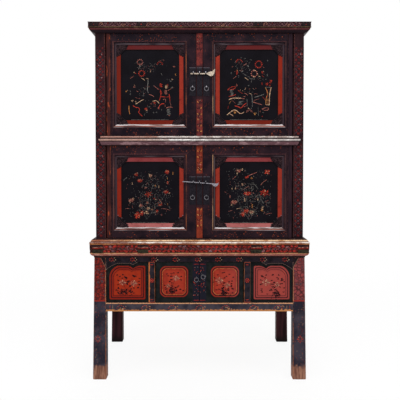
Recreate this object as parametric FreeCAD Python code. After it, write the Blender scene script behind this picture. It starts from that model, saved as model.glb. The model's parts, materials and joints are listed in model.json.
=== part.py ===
"""Two-tier lacquered cabinet with four pivot doors, on a stand with a two-door compartment.

Millimetres, +Z up, front towards -Y. The origin is on the floor, at the middle of the
overall box. Each piece is written to parts/NODE.step.
"""
import FreeCAD, Part
import math
import os

Vector = FreeCAD.Vector
os.makedirs("parts", exist_ok=True)

# ------------------------------------------------------------------ driving sizes
# Heights, from the floor up.
LEG_CLEAR = 349.0            # floor to the underside of the stand's bottom rails
STAND_RAIL_LOW = 42.0        # bottom rails of the stand
STAND_OPENING = 209.0        # doors and panels of the stand
STAND_RAIL_TOP = 22.0        # top rails of the stand
STAND_CAP = 30.0             # moulded top frame of the stand
BASE = 66.0                  # moulded base frame of the cabinet
LOWER_TIER = 469.0
BELT = 45.0                  # rail and moulding between the tiers
UPPER_TIER = 514.0
CORNICE = 49.0               # moulded top frame of the cabinet

# Plan.
BODY_WIDTH = 1044.0          # across the cabinet's posts
BODY_DEPTH = 560.0           # cabinet front face to back face
CORNICE_OUT = 31.0           # how far each moulding stands out from the cabinet's faces
BASE_OUT = 29.5
CAP_OUT = 26.0
BELT_OUT = 18.0
BELT_END = 481.0             # half length of the belt moulding where it meets the face
STAND_OUT = 8.0              # the stand's faces stand out from the cabinet's
FRAME_WIDTH = 62.0           # top and base frames, inwards from the cabinet's faces

# Carcase.
POST = 50.0                  # square posts
POST_LIP = 8.0               # stop lip behind the pivot pole
POST_ARRIS = 3.0
RAIL = 30.0                  # thickness of side and back rails
SIDE_PANEL = 12.0
PANEL_SET_IN = 9.0           # side panels behind the posts' outer faces
BACK_PANEL = 10.0
BACK_SET_IN = 6.0
BOARD = 16.0                 # top panel, floor and tier divider
TOP_SET_DOWN = 5.0           # top panel below the cornice's top
SHELF = 18.0
SHELF_SETBACK = 55.0         # shelf's front edge behind the cabinet's face
SHELF_LOWER = 232.0          # shelf tops above each tier's floor
SHELF_UPPER = 254.0
BEARER = 20.0                # square shelf bearers

# Cabinet doors.
POLE_R = 11.5                # round pivot pole, as thick as the door
PIN_R = 6.0                  # turned pins at the pole's ends
PIN_LENGTH = 12.0            # pin inside its socket
DOOR_TOP_RAIL = {"upper": 39.0, "lower": 42.0}   # flat face, up to the moulding
DOOR_BOTTOM_RAIL = {"upper": 40.0, "lower": 35.0}
HINGE_STILE = 11.5
MEETING_STILE = 45.0
MOULD = 18.5                 # bevelled moulding round the panel
MOULD_RISE = 2.0             # its bead above the face
MOULD_BEAD = 5.5
PANEL_RECESS = 9.0           # painted border below the face
PANEL_REBATE = 6.0
DOOR_PANEL = 10.0
BORDER = 22.0                # painted border round the field
FIELD_DEPTH = 3.0            # field below the border
POLE_QUIRK = 2.0             # scored line between pole and stile

CENTRE_STILE = 33.0          # fixed stile between the doors
CENTRE_LIP = 8.0             # stop lips behind the doors
CENTRE_LIP_DEPTH = 15.0

# Ironwork.
PLATE_THICK = 1.5
PLATE_WIDTH = 32.0
PLATE_CENTRE_WIDTH = 27.0
PLATE_HEIGHT = 142.0
PLATE_X = 35.0
PLATE_RISE_UPPER = 272.0     # plate middle above the tier's floor
PLATE_RISE_LOWER = 241.0
EYE_X = 31.0                 # lock eyes of the doors
EYE_DOWN = 30.0              # below the plate's top
EYE_R = 7.0
EYE_WIRE = 2.0               # half the side of its square bar
EYE_OUT = 6.0                # eye centre in front of its plate
STAPLE_UP = 46.0             # ring staple above the plate's foot
STAPLE_R = 3.7
STAPLE_WIRE = 1.25
STAPLE_OUT = 3.5
RING_R = 10.0
RING_WIRE = 1.7
RING_SAG = 0.35              # how far the ring hangs below its staple's centre
RING_SIDES = 6               # flat sides of the forged rings' wire
RING_FACETS = 20             # straight runs that each ring is hammered in

UPPER_BAR_R = 2.6
UPPER_BAR_TIP = 50.0         # bar tip to the left of the middle
UPPER_BAR_NECK = 38.0        # leaf root to the right of the middle
UPPER_LEAF = (40.0, 26.0)    # leaf length and height
LOWER_BAR_R = 1.9
LOWER_BAR_TIP = 90.0
LOWER_BAR_NECK = 62.0
LOWER_LEAF = (34.0, 19.0)
LOWER_BAR_SLOPE = 4.2        # degrees, dropping to the right
LEAF_THICK = 3.0
LEAF_CROWN = 0.55            # widest place, as a share of the leaf's length

# Stand.
LEG_WIDTH = 58.0             # at the top
LEG_DEPTH = 51.0
LEG_SPLAY = 10.0             # how far each leg's foot steps out sideways
STAND_RAIL = 40.0            # thickness of the front rails
STAND_SIDE_RAIL = 30.0
STAND_RAIL_SET_IN = 2.0      # side rails behind the tops of the legs
STAND_POST = 32.0
STAND_POST_X = 225.0         # inner faces of the door posts
STAND_BOARD = 14.0
STAND_GROUND = 10.0          # fixed front panels below the rails' face
CARTOUCHE_RISE = 4.0
CARTOUCHE_MARGIN = 16.5
CARTOUCHE_TOP = 21.0         # below the head rail
CARTOUCHE_ARCH = (42.0, 53.0, 10.0)   # its curve beside the leg: run, fall and bow
CARTOUCHE_CUSP = (14.5, 23.0, 30.0)   # its cusp: drop, run on the leg's side, run beyond
CARTOUCHE_ROUND = 7.0        # radius of its plain corners
APRON = 9.0
APRON_LIP = 8.0              # apron along its straight
APRON_ARCH = (57.0, 34.0, 3.0)
APRON_CUSP = (8.5, 18.0, 30.0)
CUSP_X = 136.0               # cusps of apron and cartouche, from the leg
CUSP_BOW = 2.0               # how far the arcs beside a cusp bow off their chords
STAND_DOOR = 18.0
STAND_DOOR_SET_IN = 3.0
STAND_PIN_R = 4.0
STAND_PIN_LENGTH = 10.0
STAND_CARTOUCHE_SIDE = 25.5  # from the post; clears it as the door opens
STAND_CARTOUCHE_MEET = 57.0
STAND_CARTOUCHE_TOP = 22.0   # from the rails
STAND_CARTOUCHE_FOOT = 30.0
STAND_CARTOUCHE_CORNER = (24.0, 4.5)  # run and bow of its cut corners
STAND_STAPLES = ((-16.0, 128.0, 4.0), (28.0, 136.0, -68.0))   # x, rise, ring's lean

# Clearances.
PIN_CLEAR = 0.08             # radial, pivot pins in their sockets
PIN_END_CLEAR = 0.3          # pin tip to socket bottom
POLE_GAP = 3.5               # pole to post
LIP_GAP = 2.0                # door back to stop lips
DOOR_GAP = 2.0               # doors to rails, above and below
MEETING_GAP = 1.5            # doors to the centre stile
BAR_SEAT = 0.3               # lock bar above the eye that it lies in
STAND_DOOR_GAP = 1.5         # stand doors to rails, posts and each other

# ------------------------------------------------------------------ levels and planes
Z_STAND_RAIL = LEG_CLEAR
Z_STAND_OPENING = Z_STAND_RAIL + STAND_RAIL_LOW
Z_STAND_HEAD = Z_STAND_OPENING + STAND_OPENING
Z_CAP = Z_STAND_HEAD + STAND_RAIL_TOP
Z_BASE = Z_CAP + STAND_CAP
Z_LOWER = Z_BASE + BASE
Z_BELT = Z_LOWER + LOWER_TIER
Z_UPPER = Z_BELT + BELT
Z_CORNICE = Z_UPPER + UPPER_TIER
Z_TOP = Z_CORNICE + CORNICE

OVERHANG = max(CORNICE_OUT, BASE_OUT, CAP_OUT, STAND_OUT)
Y_FACE = OVERHANG - (BODY_DEPTH + OVERHANG) / 2
Y_BACK = (BODY_DEPTH + OVERHANG) / 2
X_BODY = BODY_WIDTH / 2
X_POST = X_BODY - POST
X_PIVOT = X_POST - POLE_GAP - POLE_R
Y_PIVOT = Y_FACE + POLE_R
X_MEET = CENTRE_STILE / 2 + MEETING_GAP
DOOR = 2 * POLE_R
X_SIDE_PANEL = X_BODY - PANEL_SET_IN
Y_BACK_PANEL = Y_BACK - BACK_SET_IN - BACK_PANEL
PLATE_Z_UPPER = Z_UPPER + PLATE_RISE_UPPER
PLATE_Z_LOWER = Z_LOWER + PLATE_RISE_LOWER
Y_EYE = Y_FACE - PLATE_THICK - EYE_OUT
EYE_RISE = PLATE_HEIGHT / 2 - EYE_DOWN
STAPLE_DROP = PLATE_HEIGHT / 2 - STAPLE_UP

Y_STAND = Y_FACE - STAND_OUT
X_STAND = X_BODY + STAND_OUT
X_LEG = X_STAND - LEG_WIDTH
Y_STAND_DOOR = Y_STAND + STAND_DOOR_SET_IN
STAND_DOOR_R = STAND_DOOR / 2
X_STAND_PIVOT = STAND_POST_X - STAND_DOOR_GAP - STAND_DOOR_R
Y_STAND_PIVOT = Y_STAND_DOOR + STAND_DOOR_R
FAR = 4 * (BODY_WIDTH + BODY_DEPTH)


# ------------------------------------------------------------------ helpers
def box(x0, x1, y0, y1, z0, z1):
    return Part.makeBox(x1 - x0, y1 - y0, z1 - z0, Vector(x0, y0, z0))


def solid_from(edges, travel):
    return Part.Face(Part.Wire(edges)).extrude(travel)


def polygon(points):
    return Part.makePolygon(points + points[:1]).Edges


def plate_xz(points, y0, y1):
    """A flat outline of (x, z) points, y0 to y1."""
    return solid_from(polygon([Vector(x, y0, z) for x, z in points]), Vector(0, y1 - y0, 0))


def plate_xy(points, z0, z1):
    """A flat outline of (x, y) points, z0 to z1."""
    return solid_from(polygon([Vector(x, y, z0) for x, y in points]), Vector(0, 0, z1 - z0))


def post(x, y, r, z0, z1):
    """An upright cylinder."""
    return Part.makeCylinder(r, z1 - z0, Vector(x, y, z0))


def mirrored(shape):
    return shape.mirror(Vector(0, 0, 0), Vector(1, 0, 0))


def frustum(rect_front, y_front, rect_back, y_back):
    """A block whose section changes from one (x0, x1, z0, z1) rectangle to another."""
    wires = []
    for (x0, x1, z0, z1), y in ((rect_front, y_front), (rect_back, y_back)):
        corners = [Vector(x0, y, z0), Vector(x1, y, z0), Vector(x1, y, z1), Vector(x0, y, z1)]
        wires.append(Part.Wire(polygon(corners)))
    return Part.makeLoft(wires, True, True)


def grown(rect, by):
    x0, x1, z0, z1 = rect
    return (x0 - by, x1 + by, z0 - by, z1 + by)


def edges_xz(path, y):
    """Edges through (x, z) points; a pair of points is an arc through the first of them."""
    edges = []
    here = path[0]
    for step in path[1:]:
        via, end = step if isinstance(step[0], tuple) else (None, step)
        points = [Vector(x, y, z) for x, z in ([here, via, end] if via else [here, end])]
        edges.append(Part.Arc(*points).toShape() if via else Part.makeLine(*points))
        here = end
    return edges


def bowed(start, end, bow):
    """An arc from start to end for edges_xz, its middle bowed off the chord."""
    across = end[0] - start[0]
    rise = end[1] - start[1]
    share = bow / math.hypot(across, rise)
    return (((start[0] + end[0]) / 2 + rise * share, (start[1] + end[1]) / 2 - across * share), end)


def corner_arcs(corners, bow):
    """Path steps for edges_xz round corners that are each given by two points."""
    path = []
    for start, end in corners:
        path += [start, bowed(start, end, bow)]
    return path


def save(name, *shapes):
    shape = shapes[0] if len(shapes) == 1 else Part.makeCompound(list(shapes))
    shape.exportStep("parts/" + name + ".step")


# ------------------------------------------------------------------ moulded frames
def moulding_edges(steps, z0, place, back):
    """Edges round a moulding's section.

    steps are (height, out, bulge): each rises by its height, ends at its projection and
    bulges outwards between. place turns (out, z) into a point, back closes the section.
    """
    z = z0
    out = steps[0][1]
    edges = [Part.makeLine(place(back, z), place(out, z))]
    for height, end, bulge in steps[1:]:
        start = place(out, z)
        if bulge:
            middle = place((out + end) / 2 + bulge, z + height / 2)
            edges.append(Part.Arc(start, middle, place(end, z + height)).toShape())
        else:
            edges.append(Part.makeLine(start, place(end, z + height)))
        z += height
        out = end
    edges.append(Part.makeLine(place(out, z), place(back, z)))
    edges.append(Part.makeLine(place(back, z), place(back, z0)))
    return edges


def moulded_block(steps, z0, half_width):
    """A block with the moulding run round its front and two ends, plain at the back."""
    front = solid_from(
        moulding_edges(steps, z0, lambda out, z: Vector(-FAR / 2, Y_FACE - out, z), Y_FACE - Y_BACK),
        Vector(FAR, 0, 0))
    right = solid_from(
        moulding_edges(steps, z0, lambda out, z: Vector(half_width + out, -FAR / 2, z), -FAR / 4),
        Vector(0, FAR, 0))
    return front.common(right).common(mirrored(right))


def moulded_frame(steps, z0):
    """Mitred front, left and right members and the back rail of a moulded frame."""
    block = moulded_block(steps, z0, X_BODY)
    height = sum(step[0] for step in steps)
    x_in = X_BODY - FRAME_WIDTH
    y_in = Y_FACE + FRAME_WIDTH
    reach = FAR / 4
    front = block.common(plate_xy(
        [(-X_BODY - reach, Y_FACE - reach), (X_BODY + reach, Y_FACE - reach),
         (x_in, y_in), (-x_in, y_in)], z0, z0 + height))
    right = block.common(plate_xy(
        [(X_BODY + reach, Y_FACE - reach), (X_BODY + reach, Y_BACK),
         (x_in, Y_BACK), (x_in, y_in)], z0, z0 + height))
    back = box(-x_in, x_in, Y_BACK - FRAME_WIDTH, Y_BACK, z0, z0 + height)
    return front, mirrored(right), right, back


def to_size(height, out, drawn):
    """Fit a drawn section to a moulding's height and projection."""
    up = height / sum(step[0] for step in drawn)
    across = out / max(step[1] for step in drawn)
    return [(rise * up, end * across, bulge * across) for rise, end, bulge in drawn]


# From the underside up: ovolo, bead, quirk, lip, tall carved fascia, arris.
CORNICE_STEPS = to_size(CORNICE, CORNICE_OUT, [
    (0, 5, 0),
    (10.0, 20, 2.0),
    (9.5, 25, 3.0),
    (1.5, 23.5, 0),
    (1.5, 31, 0),
    (24.5, 31, 0),
    (2.0, 29, 0)])

# Tall carved band, quirk, bead, quirk, ovolo and a small slope.
BASE_STEPS = to_size(BASE, BASE_OUT, [
    (0, 27.5, 0),
    (42.0, 29.5, 1.0),
    (1.0, 26, 0),
    (9.0, 25, 3.0),
    (1.0, 22, 0),
    (11.0, 9, 5.0),
    (2.0, 7, 0)])

# Shallow cove over the stand's faces, quirk, the lower bead and a fillet.
CAP_STEPS = to_size(STAND_CAP, CAP_OUT, [
    (0, 9, 0),
    (8.5, 10.5, -0.5),
    (1.0, 13, 0),
    (18.5, 26, 4.0),
    (2.0, 26, 0)])

# Sloping carved band, bead, quirk and the top bead.
BELT_STEPS = to_size(BELT, BELT_OUT, [
    (0, 9, 0),
    (19.5, 15, 0.8),
    (1.5, 14, 0),
    (12.0, 14, 4.0),
    (2.0, 9, 0),
    (10.0, 7, 4.0)])


# ------------------------------------------------------------------ cabinet carcase
def pin_socket(x, y, r, z, depth):
    """The hole for a pivot pin; a negative depth goes down from z."""
    return post(x, y, r + PIN_CLEAR, min(z, z + depth), max(z, z + depth))


def door_sockets(z, direction):
    depth = direction * (PIN_LENGTH + PIN_END_CLEAR)
    return [pin_socket(side * X_PIVOT, Y_PIVOT, PIN_R, z, depth) for side in (-1, 1)]


cornice_front, cornice_left, cornice_right, cornice_back = moulded_frame(CORNICE_STEPS, Z_CORNICE)
base_front, base_left, base_right, base_back = moulded_frame(BASE_STEPS, Z_BASE)

for socket in door_sockets(Z_CORNICE, 1):
    cornice_front = cornice_front.cut(socket)
for socket in door_sockets(Z_LOWER, -1):
    base_front = base_front.cut(socket)

save("cornice_front", cornice_front)
save("cornice_left", cornice_left)
save("cornice_right", cornice_right)
save("base_front", base_front)
save("base_left", base_left)
save("base_right", base_right)

x_frame = X_BODY - FRAME_WIDTH
y_frame = Y_FACE + FRAME_WIDTH
z_panel = Z_TOP - TOP_SET_DOWN
save("top_panel", box(-x_frame, x_frame, y_frame, Y_BACK - FRAME_WIDTH, z_panel - BOARD, z_panel))
save("cabinet_floor", box(-x_frame, x_frame, y_frame, Y_BACK - FRAME_WIDTH, Z_LOWER - BOARD, Z_LOWER))

# Front posts carry a stop lip behind the pivot pole; their front arrises are eased.
lip_y = Y_FACE + DOOR + LIP_GAP
front_post = plate_xy(
    [(X_BODY, Y_FACE), (X_BODY, Y_FACE + POST), (X_POST - POST_LIP, Y_FACE + POST),
     (X_POST - POST_LIP, lip_y), (X_POST, lip_y), (X_POST, Y_FACE + POST_ARRIS),
     (X_POST + POST_ARRIS, Y_FACE)], Z_LOWER, Z_CORNICE)
back_post = box(X_POST, X_BODY, Y_BACK - POST, Y_BACK, Z_LOWER, Z_CORNICE)
posts = [front_post, mirrored(front_post), back_post, mirrored(back_post)]
save("post_front_right", posts[0])
save("post_front_left", posts[1])
save("post_back_right", posts[2])
save("post_back_left", posts[3])

belt_rail = box(-X_POST, X_POST, Y_FACE, Y_FACE + POST, Z_BELT, Z_UPPER)
for blocker in posts[:2] + door_sockets(Z_BELT, 1) + door_sockets(Z_UPPER, -1):
    belt_rail = belt_rail.cut(blocker)
save("belt_rail", belt_rail)

# The belt moulding lies on the rail and the posts, and its ends return onto the posts.
belt_depth = box(-FAR, FAR, -FAR, Y_FACE, Z_BELT, Z_UPPER)
save("belt_moulding", moulded_block(BELT_STEPS, Z_BELT, BELT_END).common(belt_depth))

side_y = (Y_FACE + POST, Y_BACK - POST)
side_rail = box(X_BODY - RAIL, X_BODY, *side_y, Z_BELT, Z_UPPER)
middle_back_rail = box(-X_POST, X_POST, Y_BACK - RAIL, Y_BACK, Z_BELT, Z_UPPER)
save("carcase_rails", side_rail, mirrored(side_rail), cornice_back, middle_back_rail, base_back)

side_panels = [box(X_SIDE_PANEL - SIDE_PANEL, X_SIDE_PANEL, *side_y, z0, z1)
               for z0, z1 in ((Z_LOWER, Z_BELT), (Z_UPPER, Z_CORNICE))]
save("side_panels_right", *side_panels)
save("side_panels_left", *[mirrored(panel) for panel in side_panels])
save("back_panels", *[box(-X_POST, X_POST, Y_BACK_PANEL, Y_BACK_PANEL + BACK_PANEL, z0, z1)
                      for z0, z1 in ((Z_LOWER, Z_BELT), (Z_UPPER, Z_CORNICE))])

save("tier_divider", box(RAIL - X_BODY, X_BODY - RAIL, Y_FACE + POST, Y_BACK - RAIL,
                         Z_UPPER - BOARD, Z_UPPER).cut(posts[2]).cut(posts[3]))

# One shelf in each tier, notched round the posts and borne on side battens.
shelf_x = X_SIDE_PANEL - SIDE_PANEL
shelf_pieces = []
for top in (Z_LOWER + SHELF_LOWER, Z_UPPER + SHELF_UPPER):
    shelf = box(-shelf_x, shelf_x, Y_FACE + SHELF_SETBACK, Y_BACK_PANEL, top - SHELF, top)
    for blocker in posts:
        shelf = shelf.cut(blocker)
    bearer = box(shelf_x - BEARER, shelf_x, *side_y, top - SHELF - BEARER, top - SHELF)
    shelf_pieces += [shelf, bearer, mirrored(bearer)]
save("shelves", *shelf_pieces)


def centre_stile(z0, z1):
    """Fixed stile between two doors, with a stop lip behind each of them."""
    half = CENTRE_STILE / 2
    back = lip_y + CENTRE_LIP_DEPTH
    wide = half + CENTRE_LIP
    return plate_xy([(-half, Y_FACE), (half, Y_FACE), (half, lip_y), (wide, lip_y), (wide, back),
                     (-wide, back), (-wide, lip_y), (-half, lip_y)], z0, z1)


save("centre_stile_upper", centre_stile(Z_UPPER, Z_CORNICE))
save("centre_stile_lower", centre_stile(Z_LOWER, Z_BELT))


# ------------------------------------------------------------------ cabinet doors
def left_door(tier, z_floor, z_ceiling):
    """Frame members, panel and opening of the left door between two rails."""
    z0 = z_floor + DOOR_GAP
    z1 = z_ceiling - DOOR_GAP
    x_pole = POLE_R - X_PIVOT
    opening = (x_pole + HINGE_STILE + MOULD, -X_MEET - MEETING_STILE - MOULD,
               z0 + DOOR_BOTTOM_RAIL[tier] + MOULD, z1 - DOOR_TOP_RAIL[tier] - MOULD)
    rebate = grown(opening, PANEL_REBATE)
    face_edge = grown(opening, MOULD)
    bead_crest = grown(opening, MOULD - MOULD_RISE)
    bevel_edge = grown(opening, MOULD - MOULD_BEAD)
    y_border = Y_FACE + PANEL_RECESS

    ring = box(-X_PIVOT, -X_MEET, Y_FACE, Y_FACE + DOOR, z0, z1)
    ring = ring.fuse(post(-X_PIVOT, Y_PIVOT, POLE_R, z0, z1))
    ring = ring.fuse(frustum(bead_crest, Y_FACE - MOULD_RISE, face_edge, Y_FACE))
    ring = ring.cut(frustum(bevel_edge, Y_FACE - MOULD_RISE, opening, y_border))
    ring = ring.cut(box(*rebate[:2], y_border, Y_FACE + DOOR, *rebate[2:]))
    ring = ring.cut(box(x_pole, x_pole + POLE_QUIRK, Y_FACE, Y_FACE + POLE_QUIRK, z0, z1))

    # The mitres run from each corner of the leaf to the moulding's corner, then through it.
    outer = [(x_pole, z0), (x_pole, z1), (-X_MEET, z1), (-X_MEET, z0)]
    x0, x1, low, high = face_edge
    middle = [(x0, low), (x0, high), (x1, high), (x1, low)]
    x0, x1, low, high = opening
    inner = [(x0, low), (x0, high), (x1, high), (x1, low)]
    members = []
    for i in range(4):
        j = (i + 1) % 4
        outline = [outer[i], outer[j], middle[j], inner[j], inner[i], middle[i]]
        if i == 0:
            outline = [(-FAR, z0), (-FAR, z1)] + outline[1:] + outline[:1]
        members.append(ring.common(plate_xz(outline, Y_FACE - MOULD_RISE, Y_FACE + DOOR)))

    reach = DOOR_GAP + PIN_LENGTH
    stile = members[0]
    stile = stile.fuse(post(-X_PIVOT, Y_PIVOT, PIN_R, z1, z1 + reach))
    members[0] = stile.fuse(post(-X_PIVOT, Y_PIVOT, PIN_R, z0 - reach, z0))

    field = grown(opening, -BORDER)
    panel = box(*rebate[:2], y_border, y_border + DOOR_PANEL, *rebate[2:])
    panel = panel.cut(box(*field[:2], y_border, y_border + FIELD_DEPTH, *field[2:]))
    return members, panel


def eye(x, y, z, axis, r, wire, y_seat):
    """A staple of square bar: half a hoop round the axis and two legs back to its seat."""
    centre = Vector(x, y, z)
    up = axis.cross(Vector(0, 1, 0))
    upper, lower = [[centre + side * (r + i * wire) + axis * (j * wire)
                     for i, j in ((-1, -1), (1, -1), (1, 1), (-1, 1))] for side in (up, -up)]
    legs = [solid_from(polygon(section), Vector(0, y_seat - y, 0)) for section in (upper, lower)]
    hoop = Part.Face(Part.Wire(polygon(upper))).revolve(centre, axis, 180)
    return hoop.fuse(legs).removeSplitter()


def lock_plate(x, width, z, eye_x, staple):
    """Iron plate with a lock eye and, on a door, the staple that holds its ring."""
    plate = box(x - width / 2, x + width / 2, Y_FACE - PLATE_THICK, Y_FACE,
                z - PLATE_HEIGHT / 2, z + PLATE_HEIGHT / 2)
    across = Vector(1, 0, 0)
    plate = plate.fuse(eye(eye_x, Y_EYE, z + EYE_RISE, across, EYE_R, EYE_WIRE, Y_FACE))
    if staple:
        y = Y_FACE - PLATE_THICK - STAPLE_OUT
        plate = plate.fuse(eye(x, y, z - STAPLE_DROP, across, STAPLE_R, STAPLE_WIRE, Y_FACE))
    return plate


def ring_pull(x, y, z, lean):
    """Ring hanging in its staple, leaning sideways by an angle in degrees."""
    drop = RING_R + RING_SAG
    angle = math.radians(lean)
    centre = Vector(x + drop * math.sin(angle), y, z - drop * math.cos(angle))
    sections = []
    for i in range(RING_FACETS):
        round_ring = 2 * math.pi * i / RING_FACETS
        sections.append([])
        for j in range(RING_SIDES):
            round_wire = 2 * math.pi * j / RING_SIDES
            reach = RING_R + RING_WIRE * math.cos(round_wire)
            sections[-1].append(centre + Vector(reach * math.cos(round_ring),
                                                RING_WIRE * math.sin(round_wire),
                                                reach * math.sin(round_ring)))
    flats = []
    for i in range(RING_FACETS):
        for j in range(RING_SIDES):
            flat = polygon([sections[i - 1][j - 1], sections[i][j - 1],
                            sections[i][j], sections[i - 1][j]])
            flats.append(Part.Face(Part.Wire(flat)))
    ring = Part.Solid(Part.Shell(flats))
    if ring.Volume < 0:
        ring.reverse()
    return ring


for tier, z_floor, z_ceiling, plate_z in (("upper", Z_UPPER, Z_CORNICE, PLATE_Z_UPPER),
                                          ("lower", Z_LOWER, Z_BELT, PLATE_Z_LOWER)):
    members, panel = left_door(tier, z_floor, z_ceiling)
    save("door_frame_" + tier + "_left", *members)
    save("door_frame_" + tier + "_right", *[mirrored(member) for member in members])
    save("door_panel_" + tier + "_left", panel)
    save("door_panel_" + tier + "_right", mirrored(panel))
    plate = lock_plate(PLATE_X, PLATE_WIDTH, plate_z, EYE_X, True)
    save("lock_plate_" + tier + "_right", plate)
    save("lock_plate_" + tier + "_left", mirrored(plate))
    ring = ring_pull(PLATE_X, Y_FACE - PLATE_THICK - STAPLE_OUT, plate_z - STAPLE_DROP, 0)
    save("ring_" + tier + "_right", ring)
    save("ring_" + tier + "_left", mirrored(ring))

save("centre_plates", *[lock_plate(0, PLATE_CENTRE_WIDTH, z, 0, False)
                        for z in (PLATE_Z_UPPER, PLATE_Z_LOWER)])


def lock_bar(r, tip, neck, leaf, slope, plate_z):
    """Round bar lying in the lock eyes, with a flat leaf at its right end."""
    length, height = leaf
    drift = EYE_X * math.tan(math.radians(slope))
    z = plate_z + EYE_RISE - (EYE_R - EYE_WIRE - r - drift - BAR_SEAT)
    bar = Part.makeCylinder(r, tip + neck, Vector(-tip, Y_EYE, z), Vector(1, 0, 0))
    y = Y_EYE - LEAF_THICK / 2
    root = Vector(neck - r, y, z)
    point = Vector(neck + length, y, z)
    x_wide = neck + length * LEAF_CROWN
    crown = Vector(x_wide, y, z + height / 2)
    belly = Vector(x_wide, y, z - height / 2)
    edges = [Part.Arc(root, crown, point).toShape(), Part.Arc(point, belly, root).toShape()]
    bar = bar.fuse(solid_from(edges, Vector(0, LEAF_THICK, 0)))
    bar.rotate(Vector(0, Y_EYE, z), Vector(0, 1, 0), slope)
    return bar


save("lock_bar_upper", lock_bar(UPPER_BAR_R, UPPER_BAR_TIP, UPPER_BAR_NECK, UPPER_LEAF, 0,
                                PLATE_Z_UPPER))
save("lock_bar_lower", lock_bar(LOWER_BAR_R, LOWER_BAR_TIP, LOWER_BAR_NECK, LOWER_LEAF,
                                LOWER_BAR_SLOPE, PLATE_Z_LOWER))

# ------------------------------------------------------------------ stand
cap_front, cap_left, cap_right, cap_back = moulded_frame(CAP_STEPS, Z_CAP)
cap_board = box(-x_frame, x_frame, y_frame, Y_BACK - FRAME_WIDTH, Z_BASE - STAND_BOARD, Z_BASE)
save("stand_top", cap_front, cap_left, cap_right, cap_back, cap_board)

leg_outline = [(X_LEG, 0), (X_STAND + LEG_SPLAY, 0), (X_STAND, Z_CAP), (X_LEG, Z_CAP)]
front_leg = plate_xz(leg_outline, Y_STAND, Y_STAND + LEG_DEPTH)
back_leg = plate_xz(leg_outline, Y_BACK - LEG_DEPTH, Y_BACK)
save("leg_front_right", front_leg)
save("leg_front_left", mirrored(front_leg))
save("leg_back_right", back_leg)
save("leg_back_left", mirrored(back_leg))


def stand_sockets(z, direction):
    depth = direction * (STAND_PIN_LENGTH + PIN_END_CLEAR)
    return [pin_socket(side * X_STAND_PIVOT, Y_STAND_PIVOT, STAND_PIN_R, z, depth)
            for side in (-1, 1)]


head_rail = box(-X_LEG, X_LEG, Y_STAND, Y_STAND + STAND_RAIL, Z_STAND_HEAD, Z_CAP)
foot_rail = box(-X_LEG, X_LEG, Y_STAND, Y_STAND + STAND_RAIL, Z_STAND_RAIL, Z_STAND_OPENING)
for socket in stand_sockets(Z_STAND_HEAD, 1):
    head_rail = head_rail.cut(socket)
for socket in stand_sockets(Z_STAND_OPENING, -1):
    foot_rail = foot_rail.cut(socket)
save("stand_front_rails", head_rail, foot_rail)

rail_levels = ((Z_STAND_RAIL, Z_STAND_OPENING), (Z_STAND_HEAD, Z_CAP))
stand_side_y = (Y_STAND + LEG_DEPTH, Y_BACK - LEG_DEPTH)
x_side = X_STAND - STAND_RAIL_SET_IN
side_rails = [box(x_side - STAND_SIDE_RAIL, x_side, *stand_side_y, z0, z1) for z0, z1 in rail_levels]
save("stand_side_rails", *side_rails, *[mirrored(rail) for rail in side_rails])
save("stand_back_rails", *[box(-X_LEG, X_LEG, Y_BACK - STAND_SIDE_RAIL, Y_BACK, z0, z1)
                           for z0, z1 in rail_levels])

x_post = STAND_POST_X + STAND_POST
stand_post = box(STAND_POST_X, x_post, Y_STAND, Y_STAND + STAND_RAIL, Z_STAND_OPENING, Z_STAND_HEAD)
save("stand_posts", mirrored(stand_post), stand_post)

# The apron arches over from the leg to the head rail, with a cusp on its way to the post.
def ogee(inset, z_flat, z_tail, arch, dip):
    """From the leg over an arch, along a straight and down to the cusp, then up to z_tail."""
    run, fall, swell = arch
    drop, before, after = dip
    x_cusp = X_LEG - CUSP_X
    foot = (X_LEG - inset, z_flat - fall)
    shoulder = (X_LEG - inset - run, z_flat)
    hip = (x_cusp + before, z_flat)
    cusp = (x_cusp, z_flat - drop)
    tail = (x_cusp - after, z_tail)
    return [foot, bowed(foot, shoulder, swell), hip, bowed(hip, cusp, CUSP_BOW),
            bowed(cusp, tail, CUSP_BOW)]


apron_path = ogee(0, Z_STAND_HEAD - APRON_LIP, Z_STAND_HEAD, APRON_ARCH, APRON_CUSP)
apron_path += [(X_LEG, Z_STAND_HEAD), apron_path[0]]
apron = solid_from(edges_xz(apron_path, Y_STAND), Vector(0, APRON, 0))
save("stand_aprons", mirrored(apron), apron)


# Fixed panels beside the doors, each with a raised cartouche that follows the apron.
y_ground = Y_STAND + STAND_GROUND
ground = box(x_post, X_LEG, y_ground, y_ground + STAND_BOARD, Z_STAND_OPENING, Z_STAND_HEAD)
left_x = x_post + CARTOUCHE_MARGIN
right_x = X_LEG - CARTOUCHE_MARGIN
low_z = Z_STAND_OPENING + CARTOUCHE_MARGIN
high_z = Z_STAND_HEAD - CARTOUCHE_TOP
corner = CARTOUCHE_ROUND
cartouche_path = ogee(CARTOUCHE_MARGIN, high_z, high_z, CARTOUCHE_ARCH, CARTOUCHE_CUSP)
cartouche_path += corner_arcs(
    [((left_x + corner, high_z), (left_x, high_z - corner)),
     ((left_x, low_z + corner), (left_x + corner, low_z)),
     ((right_x - corner, low_z), (right_x, low_z + corner))],
    corner * (1 - math.sqrt(0.5))) + [cartouche_path[0]]
cartouche = solid_from(edges_xz(cartouche_path, y_ground - CARTOUCHE_RISE),
                       Vector(0, CARTOUCHE_RISE, 0))
front_panel = ground.fuse(cartouche)
save("stand_front_panels", mirrored(front_panel), front_panel)

stand_board_x = x_side - PANEL_SET_IN
stand_side = box(stand_board_x - SIDE_PANEL, stand_board_x, *stand_side_y, Z_STAND_OPENING,
                 Z_STAND_HEAD)
stand_back = box(-X_LEG, X_LEG, Y_BACK_PANEL, Y_BACK_PANEL + BACK_PANEL, Z_STAND_OPENING,
                 Z_STAND_HEAD)
save("stand_panels", mirrored(stand_side), stand_side, stand_back)

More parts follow.
